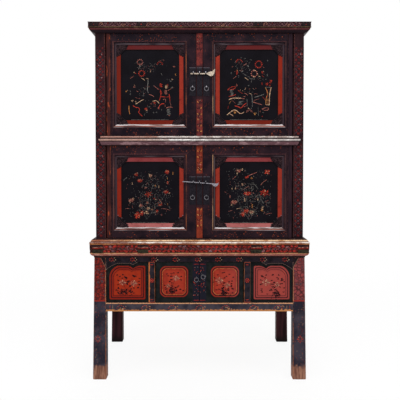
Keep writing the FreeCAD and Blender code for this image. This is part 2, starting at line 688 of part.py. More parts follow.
floor_x = x_side - STAND_SIDE_RAIL
compartment_floor = box(-floor_x, floor_x, Y_STAND + STAND_RAIL, Y_BACK - STAND_SIDE_RAIL,
                        Z_STAND_OPENING - STAND_BOARD, Z_STAND_OPENING)
for leg in (front_leg, mirrored(front_leg), back_leg, mirrored(back_leg)):
    compartment_floor = compartment_floor.cut(leg)
save("compartment_floor", compartment_floor)


def stand_door():
    """Left door board, round at its pivot edge, with a raised cartouche."""
    z0 = Z_STAND_OPENING + STAND_DOOR_GAP
    z1 = Z_STAND_HEAD - STAND_DOOR_GAP
    board = box(-X_STAND_PIVOT, -STAND_DOOR_GAP / 2, Y_STAND_DOOR, Y_STAND_DOOR + STAND_DOOR, z0, z1)
    board = board.fuse(post(-X_STAND_PIVOT, Y_STAND_PIVOT, STAND_DOOR_R, z0, z1))
    reach = STAND_DOOR_GAP + STAND_PIN_LENGTH
    board = board.fuse(post(-X_STAND_PIVOT, Y_STAND_PIVOT, STAND_PIN_R, z0 - reach, z1 + reach))
    left = STAND_CARTOUCHE_SIDE - STAND_POST_X
    right = -STAND_CARTOUCHE_MEET
    foot = Z_STAND_OPENING + STAND_CARTOUCHE_FOOT
    top = Z_STAND_HEAD - STAND_CARTOUCHE_TOP
    cut, bow = STAND_CARTOUCHE_CORNER
    outline = corner_arcs([((right, top - cut), (right - cut, top)),
                           ((left + cut, top), (left, top - cut)),
                           ((left, foot + cut), (left + cut, foot)),
                           ((right - cut, foot), (right, foot + cut))], bow)
    rise = CARTOUCHE_RISE / 2
    raised = solid_from(edges_xz([(right, foot + cut)] + outline, Y_STAND_DOOR - rise),
                        Vector(0, rise, 0))
    return board.fuse(raised)


door = stand_door()
save("stand_door_left", door)
save("stand_door_right", mirrored(door))

for side, (x, rise, lean) in zip(("left", "right"), STAND_STAPLES):
    z = Z_STAND_OPENING + rise
    y = Y_STAND_DOOR - STAPLE_OUT
    angle = math.radians(lean)
    axis = Vector(math.cos(angle), 0, math.sin(angle))
    save("stand_staple_" + side, eye(x, y, z, axis, STAPLE_R, STAPLE_WIRE, Y_STAND_DOOR))
    save("stand_ring_" + side, ring_pull(x, y, z, lean))
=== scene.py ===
"""Two-tier lacquered cabinet on its stand: finishes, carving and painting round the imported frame.

Metres, in the CAD frame: +Z up, front towards -Y, origin on the floor.
"""
import json
import math
import random

import bmesh
import bpy
from mathutils import Matrix, Vector

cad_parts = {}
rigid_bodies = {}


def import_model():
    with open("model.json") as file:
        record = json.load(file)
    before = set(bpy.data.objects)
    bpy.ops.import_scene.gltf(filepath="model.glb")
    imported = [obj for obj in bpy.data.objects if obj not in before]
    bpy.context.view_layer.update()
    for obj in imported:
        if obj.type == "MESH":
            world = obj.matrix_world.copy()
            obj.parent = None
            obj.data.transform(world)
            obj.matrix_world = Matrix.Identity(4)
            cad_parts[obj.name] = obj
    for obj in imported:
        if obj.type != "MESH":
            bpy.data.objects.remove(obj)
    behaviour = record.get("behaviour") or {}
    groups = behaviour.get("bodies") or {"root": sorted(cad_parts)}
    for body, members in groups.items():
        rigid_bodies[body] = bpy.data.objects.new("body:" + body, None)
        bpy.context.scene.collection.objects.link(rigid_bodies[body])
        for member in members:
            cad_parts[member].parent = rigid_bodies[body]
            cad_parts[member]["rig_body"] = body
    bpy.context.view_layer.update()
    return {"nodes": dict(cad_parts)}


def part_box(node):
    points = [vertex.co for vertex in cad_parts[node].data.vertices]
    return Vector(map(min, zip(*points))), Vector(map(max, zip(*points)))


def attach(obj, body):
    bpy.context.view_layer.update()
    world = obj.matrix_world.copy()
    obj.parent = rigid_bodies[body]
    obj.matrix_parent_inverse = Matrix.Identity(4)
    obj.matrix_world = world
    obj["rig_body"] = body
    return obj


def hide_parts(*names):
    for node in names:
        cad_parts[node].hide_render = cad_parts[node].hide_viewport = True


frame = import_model()

# ---------------------------------------------------------------- floor, lamps and camera
# A plain pale floor that fades into a white surround, a broad lamp over the front, a weaker
# one on each side and one behind. The camera stands in front, a little above the middle.
scene = bpy.context.scene
scene.view_settings.view_transform = "Standard"


class Out:
    """An output of a finish's nodes. Arithmetic on it adds Math nodes."""

    def __init__(self, finish, socket):
        self.finish = finish
        self.socket = socket

    def maths(self, operation, *terms):
        return self.finish.node("Math", {"operation": operation}, dict(enumerate(terms)))

    def __add__(self, other):
        return self.maths("ADD", self, other)

    def __sub__(self, other):
        return self.maths("SUBTRACT", self, other)

    def __rsub__(self, other):
        return self.maths("SUBTRACT", other, self)

    def __mul__(self, other):
        return self.maths("MULTIPLY", self, other)

    def __abs__(self):
        return self.maths("ABSOLUTE", self)

    def __or__(self, other):
        return self.maths("MAXIMUM", self, other)

    def rise(self, low, high):
        """A mask that goes smoothly from 0 at low to 1 at high; low may be the larger."""
        return self.finish.node("MapRange", {"interpolation_type": "SMOOTHSTEP"},
                                {"Value": self, "From Min": low, "From Max": high})

    def band(self, low, high, soft=.0008):
        """A mask that is 1 between low and high."""
        return self.rise(low - soft, low + soft) * self.rise(high + soft, high - soft)


def tone(paint):
    """A paint's linear colour from its 0 to 255 display values; an output stays as it is."""
    if isinstance(paint, Out):
        return paint
    return (*[((c / 255 + .055) / 1.055) ** 2.4 for c in paint], 1)


class Finish:
    """A material made of nodes, on Object coordinates in metres. A paint is written as its
    red, green and blue from 0 to 255, and colour is what has been laid on so far."""

    def __init__(self, name):
        self.material = bpy.data.materials.new(name)
        self.material.use_nodes = True
        self.tree = self.material.node_tree
        self.shader = self.tree.nodes["Principled BSDF"]
        self.place = self.node("TexCoord", out="Object")
        self.x, self.y, self.z = self.node("SeparateXYZ", ins={0: self.place}, out="XYZ")
        self.side = abs(self.x)

    def node(self, kind, settings=None, ins=None, out=0):
        """Adds a node: its settings, then its sockets; gives one output, or those of XYZ."""
        made = self.tree.nodes.new("ShaderNode" + kind)
        for key, value in (settings or {}).items():
            setattr(made, key, value)
        for key, value in (ins or {}).items():
            if isinstance(value, Out):
                self.tree.links.new(value.socket, made.inputs[key])
            else:
                made.inputs[key].default_value = value
        if out == "XYZ":
            return [Out(self, made.outputs[i]) for i in range(3)]
        return Out(self, made.outputs[out])

    def noise(self, size, detail=3.0, stretch=(1, 1, 1), shift=0.0):
        """Noise whose blots are about size across, longer along an axis with a small stretch."""
        where = self.node("VectorMath", {"operation": "MULTIPLY_ADD"},
                          {0: self.place, 1: stretch, 2: (shift, shift, shift)})
        return self.node("TexNoise", ins={"Vector": where, "Scale": 1 / size, "Detail": detail})

    def cells(self, size, feature="F1", shift=0.0, scatter=1.0):
        """Distance from the nearest cell point, or from the cell's edge, in cells."""
        where = self.node("VectorMath", {"operation": "ADD"},
                          {0: self.place, 1: (shift, shift, shift)})
        return self.node("TexVoronoi", {"feature": feature},
                         {"Vector": where, "Scale": 1 / size, "Randomness": scatter})

    def worn(self):
        """A mask that is 1 on the eased edges."""
        return self.node("Attribute", {"attribute_name": "worn"}, out="Fac")

    def mix(self, mask, under, over):
        return self.node("Mix", {"data_type": "RGBA"}, {0: mask, 6: tone(under), 7: tone(over)},
                         out=2)

    def lay(self, mask, paint):
        """Lays a paint over the colour so far."""
        self.colour = self.mix(mask, self.colour, paint)

    def done(self, roughness, height=None, depth=.0006, gloss=.03):
        """Puts the colour, roughness and relief on the shader and gives the material."""
        bump = {} if height is None else {"Normal": self.node(
            "Bump", ins={"Height": height, "Distance": depth, "Strength": 1.0})}
        for key, value in {"Base Color": self.colour, "Roughness": roughness,
                           "Specular IOR Level": gloss, **bump}.items():
            if isinstance(value, Out):
                self.tree.links.new(value.socket, self.shader.inputs[key])
            else:
                self.shader.inputs[key].default_value = value
        return self.material


def link(name, data):
    made = bpy.data.objects.new(name, data)
    scene.collection.objects.link(made)
    return made


FLOOR_WHOLE, FLOOR_GONE, FLOOR_STRENGTH = 1.4, 3.2, .11
bm = bmesh.new()
bmesh.ops.create_circle(bm, cap_ends=True, segments=96, radius=6)
floor_mesh = bpy.data.meshes.new("floor")
bm.to_mesh(floor_mesh)
bm.free()
floor = link("floor", floor_mesh)

finish = Finish("pale_floor")
from_middle = finish.node("VectorMath", {"operation": "LENGTH"}, {0: finish.place}, out="Value")
grain = finish.noise(.03, 5)
thin = from_middle.rise(FLOOR_GONE, FLOOR_WHOLE) * FLOOR_STRENGTH
finish.tree.links.new(thin.socket, finish.shader.inputs["Alpha"])
finish.colour = finish.mix(grain.rise(.3, .7), (250, 250, 250), (253, 253, 253))
floor_mesh.materials.append(finish.done(.9, gloss=0))

SURROUND_LIGHT = .62
world = bpy.data.worlds.new("surround")
scene.world = world
world.use_nodes = True
sky = world.node_tree
rays = sky.nodes.new("ShaderNodeLightPath")
seen = rays.outputs["Is Camera Ray"]
for kind in ("Is Glossy Ray", "Is Transmission Ray"):
    either = sky.nodes.new("ShaderNodeMath")
    either.operation = "MAXIMUM"
    sky.links.new(seen, either.inputs[0])
    sky.links.new(rays.outputs[kind], either.inputs[1])
    seen = either.outputs[0]
bright = sky.nodes.new("ShaderNodeMapRange")
bright.inputs["To Min"].default_value = SURROUND_LIGHT
bright.inputs["To Max"].default_value = 1.0
sky.links.new(seen, bright.inputs["Value"])
sky.links.new(bright.outputs[0], sky.nodes["Background"].inputs["Strength"])
sky.nodes["Background"].inputs["Color"].default_value = (1, 1, 1, 1)


def lamp(name, place, aim, size, power):
    """A square lamp of that size, turned to the point it is aimed at."""
    light = bpy.data.lights.new(name, "AREA")
    light.shape = "SQUARE"
    light.size = size
    light.energy = power
    made = link(name, light)
    made.location = place
    made.rotation_euler = (Vector(aim) - Vector(place)).to_track_quat("-Z", "Y").to_euler()


lamp("lamp_over_front", (0, -2.0, 3.6), (0, -.2, .9), 2.2, 62)
lamp("lamp_left", (-3.0, -2.4, 1.9), (0, 0, .9), 1.8, 22)
lamp("lamp_right", (3.0, -2.4, 1.9), (0, 0, .9), 1.8, 22)
lamp("lamp_back", (0, 3.2, 2.6), (0, 0, .9), 2.2, 40)

CAMERA_PLACE = (0, -2.682, 1.091)
CAMERA_DOWN = 1.46
camera = bpy.data.cameras.new("camera")
camera.sensor_width = 36
camera.lens = 43.27
camera.shift_x = .00125
camera.shift_y = -.0585
view_point = link("camera", camera)
view_point.location = CAMERA_PLACE
view_point.rotation_euler = (math.radians(90 - CAMERA_DOWN), 0, 0)
scene.camera = view_point

# ---------------------------------------------------------------- stand: legs
# Four legs of hardwood that step out towards the feet. The front pair is painted with red
# blossoms down to the bottom rail, blue-black below it, and rubbed bare at the feet.
LEG_EASE, BLOSSOM = .003, .0185
LEG_FRONT, SHOULDER_Z, SHOULDER_LEAN = -.270, .5776, .516


def solids_of(node):
    """The node's solids as bmeshes. Its triangles come solid by solid, and one is whole
    when each of its edges has met its opposite."""
    mesh = frame["nodes"][node].data
    spot = [tuple(round(c * 1e6) for c in v.co) for v in mesh.vertices]
    made = []
    open_edges = set()
    solid = None
    for face in mesh.polygons:
        if solid is None:
            solid = bmesh.new()
            known = {}
        corners = [spot[i] for i in face.vertices]
        for i, corner in enumerate(corners):
            if corner not in known:
                known[corner] = solid.verts.new(mesh.vertices[face.vertices[i]].co)
            edge = (corner, corners[(i + 1) % 3])
            if edge[::-1] in open_edges:
                open_edges.remove(edge[::-1])
            else:
                open_edges.add(edge)
        if len(set(corners)) == 3:
            try:
                solid.faces.new([known[c] for c in corners])
            except ValueError:
                pass
        if not open_edges:
            solid.normal_update()
            made.append(solid)
            solid = None
    return made


def poured(bm, whole, place=Matrix()):
    """Adds a bmesh, moved by a matrix, to a whole one, and frees it."""
    part = bpy.data.meshes.new("part")
    bm.to_mesh(part)
    bm.free()
    part.transform(place)
    whole.from_mesh(part)
    bpy.data.meshes.remove(part)


def piece(name, bm, body, slot, finishes, *nodes):
    """An object from a bmesh that rides on a body and stands for some CAD nodes."""
    mesh = bpy.data.meshes.new(name)
    bm.to_mesh(mesh)
    bm.free()
    for material in finishes:
        mesh.materials.append(material)
    mesh.shade_smooth()
    mesh.set_sharp_from_angle(angle=math.radians(34))
    made = link(name, mesh)
    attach(made, body)
    if nodes:
        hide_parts(*nodes)


def body_of(node):
    return frame["nodes"][node]["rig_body"]


def eased(node, slot, finish, width, shape=None):
    """A CAD node with its sharp edges eased. The new faces carry the attribute worn."""
    whole = bmesh.new()
    for solid in solids_of(node):
        bmesh.ops.dissolve_limit(solid, angle_limit=math.radians(.5), verts=solid.verts,
                                 edges=solid.edges)
        if shape:
            shape(solid)
        worn = solid.faces.layers.float.new("worn")
        sharp = [e for e in solid.edges
                 if len(e.link_faces) == 2 and e.calc_face_angle() > math.radians(40)]
        eases = bmesh.ops.bevel(solid, geom=sharp, offset=width, offset_type="OFFSET",
                                affect="EDGES", segments=1, profile=.5, material=-1,
                                clamp_overlap=True)
        for face in eases["faces"]:
            face[worn] = 1
        poured(solid, whole)
    piece(node + "_eased", whole, body_of(node), slot, [finish], node)


def dress(node, material):
    """Gives a CAD node that stays its finish."""
    data = frame["nodes"][node].data
    data.materials.clear()
    data.materials.append(material)


finish = Finish("painted_leg")
blot = finish.noise(.05, 4)
rub = finish.noise(.012, 5)
blue_black = finish.mix(blot.rise(.35, .65), (38, 35, 45), (62, 57, 67))
dots = finish.noise(.0055, 1).rise(.70, .74)
blue_black = finish.mix(dots * .8, blue_black, (146, 66, 54))
blue_black = finish.mix(finish.noise(.0045, 2, shift=6.0).rise(.72, .76) * .6, blue_black,
                        (150, 130, 112))
petals = finish.cells(BLOSSOM, shift=.3, scatter=.85)
veins = finish.cells(BLOSSOM, "DISTANCE_TO_EDGE", shift=.3, scatter=.85)
blossom = finish.mix(rub.rise(.40, .62), (138, 40, 32), (88, 30, 27))
blossom = finish.mix(finish.x.rise(0, .1) * .5, blossom, (146, 78, 82))
blossom = finish.mix(petals.rise(.16, .09), blossom, (58, 36, 34))
blossom = finish.mix(veins.rise(.13, .05) * .8, blossom, (48, 32, 34))
blossom = finish.mix(finish.noise(.045, 2, shift=2.0).rise(.54, .60) * veins.rise(.15, .25), blossom,
                     (72, 54, 58))
painted = (finish.z + (rub - .5) * .006).rise(.3985, .4005)
finish.colour = finish.mix(painted, blue_black, blossom)
finish.lay(finish.z.band(.3995, .4045, .001), (150, 44, 34))
shoulder = finish.side - (finish.z - SHOULDER_Z) * SHOULDER_LEAN
in_shoulder = shoulder.rise(.4760, .4752)
finish.lay(in_shoulder, (28, 23, 28))
finish.lay(shoulder.band(.4754, .4770, .0004) * finish.z.rise(.576, .579), (150, 112, 88))
bare = (finish.z + rub * .05 - .025).rise(.080, .058)
wood = finish.noise(.006, 4, (1, 1, .12))
bare_wood = finish.mix(wood.rise(.35, .65), (108, 70, 58), (158, 114, 94))
finish.lay(bare, bare_wood)
on_front = finish.y.rise(LEG_FRONT, LEG_FRONT - .0015)
inner = (finish.side + rub * .012).rise(.4835, .4810) * finish.z.rise(.30, .24) * rub.rise(.36, .50)
finish.lay(inner * on_front * .8, (150, 84, 48))
edge = (finish.side + (rub - .5) * .0035).rise(.4752, .4740) * finish.z.rise(.5735, .5700)
edge = edge * finish.z.rise(.388, .392) * on_front
finish.lay(edge * rub.rise(.30, .42), (206, 150, 104))
finish.lay(finish.worn() * rub.rise(.46, .58) * .8, (146, 96, 72))
leg_paint = finish.done(.5, rub * .5 + veins.rise(.02, .14) * painted, .0009)

finish = Finish("plain_leg")
streak = finish.noise(.02, 4, (1, 1, .08))
finish.colour = finish.mix(streak.rise(.35, .7), (30, 17, 19), (62, 34, 38))
finish.lay(finish.worn() * .5, (92, 54, 46))
finish.lay(finish.z.rise(.05, .01), (28, 20, 20))
back_lacquer = finish.done(.45, streak, .0004)

for side in ("left", "right"):
    eased("leg_front_" + side, "stand_lacquer", leg_paint, LEG_EASE)
    eased("leg_back_" + side, "stand_lacquer", back_lacquer, LEG_EASE)

# ---------------------------------------------------------------- stand: rails, posts and aprons
# Black-lacquered rails tenoned into the legs. Small clusters of red and cream dots run along
# them, and the arrises are rubbed through to orange undercoat and wood.
finish = Finish("stand_rail")
blot = finish.noise(.035, 4)
rub = finish.noise(.010, 5)
low = finish.z.rise(.45, .44)
black = finish.mix(blot.rise(.3, .7), (20, 17, 22), (38, 31, 38))
blue = finish.mix(blot.rise(.3, .7), (44, 40, 49), (68, 62, 70))
finish.colour = finish.mix(low, black, blue)
front = finish.y.rise(-.265, -.268)
top_line = (finish.z + (rub - .5) * .004).band(.3872, .3925, .001)
foot_line = (finish.z + (rub - .5) * .026).rise(.3585, .3545)
finish.lay(top_line * rub.rise(.30, .42) * front, (206, 150, 112))
finish.lay(foot_line * low * front, (186, 124, 76))
finish.lay(finish.worn() * rub.rise(.40, .5) * .7, (140, 92, 72))
rail_paint = finish.done(.42, rub, .0006)
for node in ("stand_front_rails", "stand_side_rails", "stand_back_rails"):
    eased(node, "stand_lacquer", rail_paint, .0018)

finish = Finish("stand_apron")
blot = finish.noise(.035, 4)
finish.colour = finish.mix(blot.rise(.3, .7), (20, 18, 23), (38, 32, 38))
finish.lay(finish.worn() * finish.z.rise(.5990, .5975), (158, 128, 116))
apron_paint = finish.done(.42, blot, .0006)
eased("stand_aprons", "stand_lacquer", apron_paint, .0018)

finish = Finish("stand_post")
rub = finish.noise(.010, 4, (1, 1, .5))
dots = finish.cells(.009)
finish.colour = finish.mix(finish.noise(.03, 3).rise(.35, .65), (26, 23, 29), (44, 39, 46))
finish.lay(dots.rise(.16, .10) * .6, (104, 58, 50))
outer = (finish.side + (rub - .5) * .014).rise(.2500, .2520) * finish.x.rise(.1, -.1)
outer = outer | ((finish.side - (rub - .5) * .010).rise(.2270, .2258) * .6)
finish.lay(outer, (186, 104, 56))
ends = (finish.z + (rub - .5) * .006).rise(.400, .396) | finish.z.rise(.5935, .5965)
finish.lay(ends * .8, (132, 52, 40))
finish.lay(finish.worn() * .7, (128, 86, 66))
post_paint = finish.done(.45, rub, .0005)
eased("stand_posts", "stand_lacquer", post_paint, .0015)


class Brush:
    """Raised lacquer painting on a front: dabs and lines that stand a hair proud of it."""

    def __init__(self, y):
        self.bm = bmesh.new()
        self.y = y
        self.lines = {}

    def paint(self, made, colour):
        for face in {f for v in made["verts"] for f in v.link_faces}:
            face.material_index = colour

    def dab(self, x, z, long, wide, turn=0.0, colour=0, high=.0006, sides=8):
        """An oval dab; turn is in degrees from the x axis."""
        place = (Matrix.Translation((x, self.y, z)) @ Matrix.Rotation(math.radians(-turn), 4, "Y")
                 @ Matrix.Diagonal((long, high * 2, wide, 1)) @ Matrix.Rotation(math.pi / 2, 4, "X"))
        self.paint(bmesh.ops.create_cone(self.bm, cap_ends=True, segments=sides, radius1=.5,
                                         radius2=.34, depth=1, matrix=place), colour)

    def line(self, points, width, colour=0, high=.0006):
        """A smooth line through about those (x, z) points, high at its middle."""
        self.lines.setdefault((width, colour, high), []).append(points)

    def drawn(self):
        """The bmesh with its lines, which are made one curve for each width and colour."""
        for (width, colour, high), strokes in self.lines.items():
            curve = bpy.data.curves.new("line", "CURVE")
            curve.dimensions = "3D"
            curve.bevel_depth = width / 2
            curve.bevel_resolution = 1
            curve.resolution_u = 3
            curve.use_fill_caps = True
            for points in strokes:
                spline = curve.splines.new("NURBS")
                spline.points.add(len(points) - 1)
                for knot, (x, z) in zip(spline.points, points):
                    knot.co = (x, 0, z, 1)
                spline.order_u = 3
                spline.use_endpoint_u = True
            holder = bpy.data.objects.new("line", curve)
            mesh = bpy.data.meshes.new_from_object(holder)
            mesh.transform(Matrix.Translation((0, self.y, 0))
                           @ Matrix.Diagonal((1, high * 2 / width, 1, 1)))
            mesh.polygons.foreach_set("material_index", [colour] * len(mesh.polygons))
            self.bm.from_mesh(mesh)
            bpy.data.objects.remove(holder)
            bpy.data.curves.remove(curve)
            bpy.data.meshes.remove(mesh)
        self.lines = {}
        return self.bm

    def ring(self, x, z, radius, petals, colour, start=0, end=360, size=.64):
        """Round petals in a ring, or in an arc from start to end degrees. Size is the share of
        the radius and of their spacing that they take up."""
        whole = end - start == 360
        for i in range(petals):
            turn = start + (end - start) * i / (petals if whole else petals - 1)
            a = math.radians(turn)
            self.dab(x + radius * math.cos(a), z + radius * math.sin(a), radius * size * .9,
                     size * radius * math.radians(end - start) / petals, turn, colour)

    def done(self, name, body, finishes):
        piece(name, self.drawn(), body, "painted_panel", finishes)


def pigment(name, light, dark):
    """Thick paint, thin at the rims of its dabs and rubbed here and there."""
    finish = Finish(name)
    patch = finish.noise(.010, 4)
    finish.colour = finish.mix(patch.rise(.35, .62), light, dark)
    lost = finish.noise(.0036, 3, shift=3.0).rise(.54, .62)
    finish.lay(lost * .6, (36, 24, 26))
    return finish.done(.5, patch, .0003)


COLOURS = [pigment("red_pigment", (190, 62, 44), (142, 42, 34)),
           pigment("cream_pigment", (212, 178, 142), (164, 124, 100)),
           pigment("grey_pigment", (122, 120, 114), (78, 76, 76)),
           pigment("pink_pigment", (176, 108, 94), (124, 68, 62)),
           pigment("ink_pigment", (16, 15, 20), (26, 23, 28)),
           pigment("gold_pigment", (206, 144, 80), (160, 98, 52))]
red, cream, grey, pink, ink, gold = range(6)

Y_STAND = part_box("stand_front_rails")[0].y
HEAD_RAIL, FOOT_RAIL = .6116, .3625
POST, POST_FLOWER = .2406, .5056
chance = random.Random(4)
brush = Brush(Y_STAND)
for x in (-.444, -.338, -.232, -.124, -.012, .090, .196, .316, .429):
    for i in range(6):
        a = math.radians(60 * i + 30)
        brush.dab(x + .0092 * math.cos(a), HEAD_RAIL + .0080 * math.sin(a), .0066, .0056, 0, red)
    for right, up in ((.014, -.0075), (.0215, -.001), (.0150, .0080)):
        brush.dab(x + right, HEAD_RAIL + up, .0052, .0048, 0, cream)
for x in (-.395, -.270, -.134, .005, .136, .277, .400):
    for i in range(6):
        a = math.radians(10 + 32 * i)
        brush.dab(x + .0190 * math.cos(a) - .003, FOOT_RAIL + .0160 * math.sin(a), .0074, .0060,
                  0, pink if i % 3 == 1 else red)
    for i in range(6):
        brush.dab(x + chance.uniform(-.006, .026), FOOT_RAIL + .0035 + chance.uniform(-.008, .011),
                  .0060, .0050, 0, cream if i % 2 else gold)
for x, colour in ((-.452, red), (-.438, cream), (.456, red), (.441, cream)):
    brush.dab(x, .371, .020, .0032, 90, colour)
for sign in (-1, 1):
    brush.ring(sign * POST, POST_FLOWER, .0088, 7, red, size=.95)
    brush.dab(sign * POST, POST_FLOWER, .0080, .0080, 0, red)
    for z in (.408, .585):
        brush.dab(sign * POST, z, .022, .0034, 0, red)
for x, z in ((-.5135, .208), (.509, .207)):
    for i in range(8):
        a = math.radians(45 * i)
        brush.dab(x + .0108 * math.cos(a), z + .0132 * math.sin(a), .0145, .0056, math.degrees(a),
                  pink if i % 2 else red)
    for i in range(26):
        brush.dab(x + chance.uniform(-.018, .016), chance.uniform(.10, .38), .0034, .0028, 0,
                  (red, gold, cream)[i % 3])
brush.done("stand_blossoms", "cabinet", COLOURS)

# ---------------------------------------------------------------- stand: panels and doors
# Boards lacquered dark green round raised cartouches. Each cartouche is red, with two lines
# inside its rim, and holds sprays in bloom over a small rock. Its place and size are its
# middle and half sizes in |x| and z.
SIDE_CARTOUCHE = (.3645, .493, .091, .0858)
DOOR_CARTOUCHE = (.1283, .4995, .0713, .0785)
MIDDLE_STRIP, ROCK_DABS = .034, 46


def red_ground(name, rim, bright, y_raised, cx, cz, hx, hz):
    """Red inside the raised cartouche, deeper near its rim, and dark green round it, with a
    blue-black strip where the doors meet."""
    finish = Finish(name)
    blot = finish.noise(.03, 4)
    scratch = finish.noise(.003, 3, (1, 1, .1))
    green = finish.mix(blot.rise(.35, .65), (18, 22, 22), (29, 31, 31))
    green = finish.mix(finish.side.rise(MIDDLE_STRIP + .0005, MIDDLE_STRIP - .0005), green, (27, 27, 37))
    inside = (abs(finish.side - cx) - hx) | (abs(finish.z - cz) - hz)
    red_paint = finish.mix(inside.rise(-.016, -.030), rim, bright)
    red_paint = finish.mix(blot.rise(.45, .70) * .5, red_paint, (112, 32, 26))
    raised = finish.y.rise(y_raised + .0012, y_raised + .0006)
    finish.colour = finish.mix(raised, green, red_paint)
    finish.lay(finish.worn() * raised * .4, (96, 40, 34))
    finish.lay(finish.x.rise(.05, .3) * raised * .50, (158, 78, 76))
    finish.lay(scratch.rise(.66, .74) * .35, (90, 52, 44))
    return finish.done(.42, blot, .0006)


y_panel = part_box("stand_front_panels")[0].y
y_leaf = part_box("stand_door_left")[0].y
side_red = red_ground("side_cartouche", (128, 34, 22), (152, 46, 24), y_panel, *SIDE_CARTOUCHE)
eased("stand_front_panels", "stand_lacquer", side_red, .0014)
door_red = red_ground("door_cartouche", (138, 42, 30), (158, 52, 36), y_leaf, *DOOR_CARTOUCHE)
for side in ("left", "right"):
    eased("stand_door_" + side, "stand_lacquer", door_red, .0012)


def rim_lines(node, name, y, insets):
    """Raised lines that follow the rim of a flat cartouche at some insets."""
    whole = bmesh.new()
    for solid in solids_of(node):
        flat = [f for f in solid.faces if f.normal.y < -.9 and all(
            abs(v.co.y - y) < 1e-4 for v in f.verts)]
        if flat:
            cartouche = bmesh.ops.dissolve_faces(solid, faces=flat)["region"][0]
            rim = [(v.co.x, v.co.z) for v in cartouche.verts]
            (x0, x1), (z0, z1) = ((min(side), max(side)) for side in zip(*rim))
            cx, cz, hx, hz = (x0 + x1) / 2, (z0 + z1) / 2, (x1 - x0) / 2, (z1 - z0) / 2
            for start, width, colour in insets:
                edges = []
                for depth in (start, start + width):
                    loop = [whole.verts.new((cx + (x - cx) * (1 - depth / hx), y - .0005,
                                             cz + (z - cz) * (1 - depth / hz))) for x, z in rim]
                    edges += [whole.edges.new(ends) for ends in zip(loop, loop[1:] + loop[:1])]
                for face in bmesh.ops.bridge_loops(whole, edges=edges)["faces"]:
                    face.material_index = colour
        solid.free()
    bmesh.ops.recalc_face_normals(whole, faces=whole.faces)
    bmesh.ops.solidify(whole, geom=whole.faces[:], thickness=.0005)
    piece(name, whole, body_of(node), "painted_panel", COLOURS)


rim_lines("stand_front_panels", "side_cartouche_lines", y_panel,
          ((.0080, .0034, ink), (.0190, .0014, ink)))
for side in ("left", "right"):
    rim_lines("stand_door_" + side, "door_cartouche_lines_" + side, y_leaf,
              ((.0058, .0032, ink), (.0120, .0012, gold)))


def bloom(brush, x, z, long, tall, heart):
    """A blossom seen from the front: two rows of narrow petals round a heart."""
    for row, share in ((12, .40), (8, .20)):
        for i in range(row):
            a = math.radians(360 * i / row + 7 * row)
            brush.dab(x + share * long * math.cos(a), z + share * tall * math.sin(a), long * .26,
                      tall * .12, math.degrees(a), cream if (i + row) % 3 == 0 else pink, .0008)
    brush.dab(x, z, long * .16, tall * .16, 0, heart, .0010)


def spray(brush, chance, blooms, x, z, wide, high, leaves, foot):
    """Dark leaves strewn about, stems up to each bloom, and a small hatched rock."""
    fx, fz, fw, fh = foot
    for _ in range(leaves):
        lx, lz = x + chance.uniform(-.5, .5) * wide, z + chance.uniform(-.5, .5) * high
        if all(abs(lx - bx) > .6 * bw or abs(lz - bz) > .6 * bh for bx, bz, bw, bh, _ in blooms):
            turn = chance.uniform(-60, 100)
            for lean in (-28, 28):
                brush.dab(lx + .004 * (lean > 0), lz, chance.uniform(.0085, .0125), .0046,
                          turn + lean, ink, sides=6)
    for bx, bz, bw, bh, heart in blooms:
        brush.line([(fx, fz), (fx + (bx - fx) * .2, fz + (bz - fz) * .6), (bx, bz)], .0014, ink)
        for turn in (25, 155, 215, 330):
            a = math.radians(turn + chance.uniform(-15, 15))
            ex, ez = bx + .78 * bw * math.cos(a), bz + .74 * bh * math.sin(a)
            brush.line([(bx, bz), ((bx + ex) / 2, (bz + ez) / 2 + .002), (ex, ez)], .0013, ink)
            for lean in (-40, 0, 40):
                brush.dab(ex, ez, .0105, .0042, math.degrees(a) + lean, ink, sides=6)
        bloom(brush, bx, bz, bw, bh, heart)
    for _ in range(ROCK_DABS):
        brush.dab(fx + fw * chance.gauss(0, .30), fz + fh * chance.gauss(0, .26),
                  chance.uniform(.007, .012), .0046, chance.uniform(-20, 75), ink, .0009, 6)


chance = random.Random(11)
brush = Brush(y_panel)
for blooms, x, foot in (
        (((-.389, .494, .035, .028, red), (-.331, .490, .036, .032, pink)), -.362,
         (-.372, .446, .042, .032)),
        (((.337, .494, .040, .036, red), (.392, .482, .022, .030, pink)), .366,
         (.389, .434, .040, .032))):
    spray(brush, chance, blooms, x, .484, .122, .100, 52, foot)
brush.done("side_cartouche_sprays", "cabinet", COLOURS)
for side, sign, blooms, foot in (
        ("left", -1, ((-.118, .518, .036, .031, red), (-.158, .478, .024, .022, pink)),
         (-.140, .452, .034, .030)),
        ("right", 1, ((.100, .506, .040, .034, red), (.140, .482, .030, .026, pink)),
         (.126, .442, .036, .032))):
    brush = Brush(y_leaf)
    spray(brush, chance, blooms, sign * .128, .493, .092, .108, 38, foot)
    strip = sign * .0165
    for i in range(26):
        brush.dab(strip + chance.uniform(-.015, .015), chance.uniform(.425, .575), .0048, .0040,
                  0, (red, grey, red, pink)[i % 4])
    for z in (.405, .588):
        brush.dab(strip, z, .031, .0024, 0, red)
    brush.done("door_cartouche_spray_" + side, body_of("stand_door_" + side), COLOURS)

# ---------------------------------------------------------------- stand: sides, back and floor
# Plain boards, lacquered outside in thin dark brown and left bare within.
finish = Finish("thin_lacquer")
streak = finish.noise(.016, 5, (1, 1, .07))
finish.colour = finish.mix(streak.rise(.3, .7), (38, 23, 23), (62, 36, 34))
finish.lay(finish.noise(.12, 3).rise(.5, .7) * .5, (28, 19, 20))
scuff = finish.noise(.008, 4, (1, .2, 1)).rise(.66, .74) * finish.noise(.2, 2).rise(.5, .6)
finish.lay(scuff * .6, (104, 66, 52))
thin_lacquer = finish.done(.5, streak, .0005)

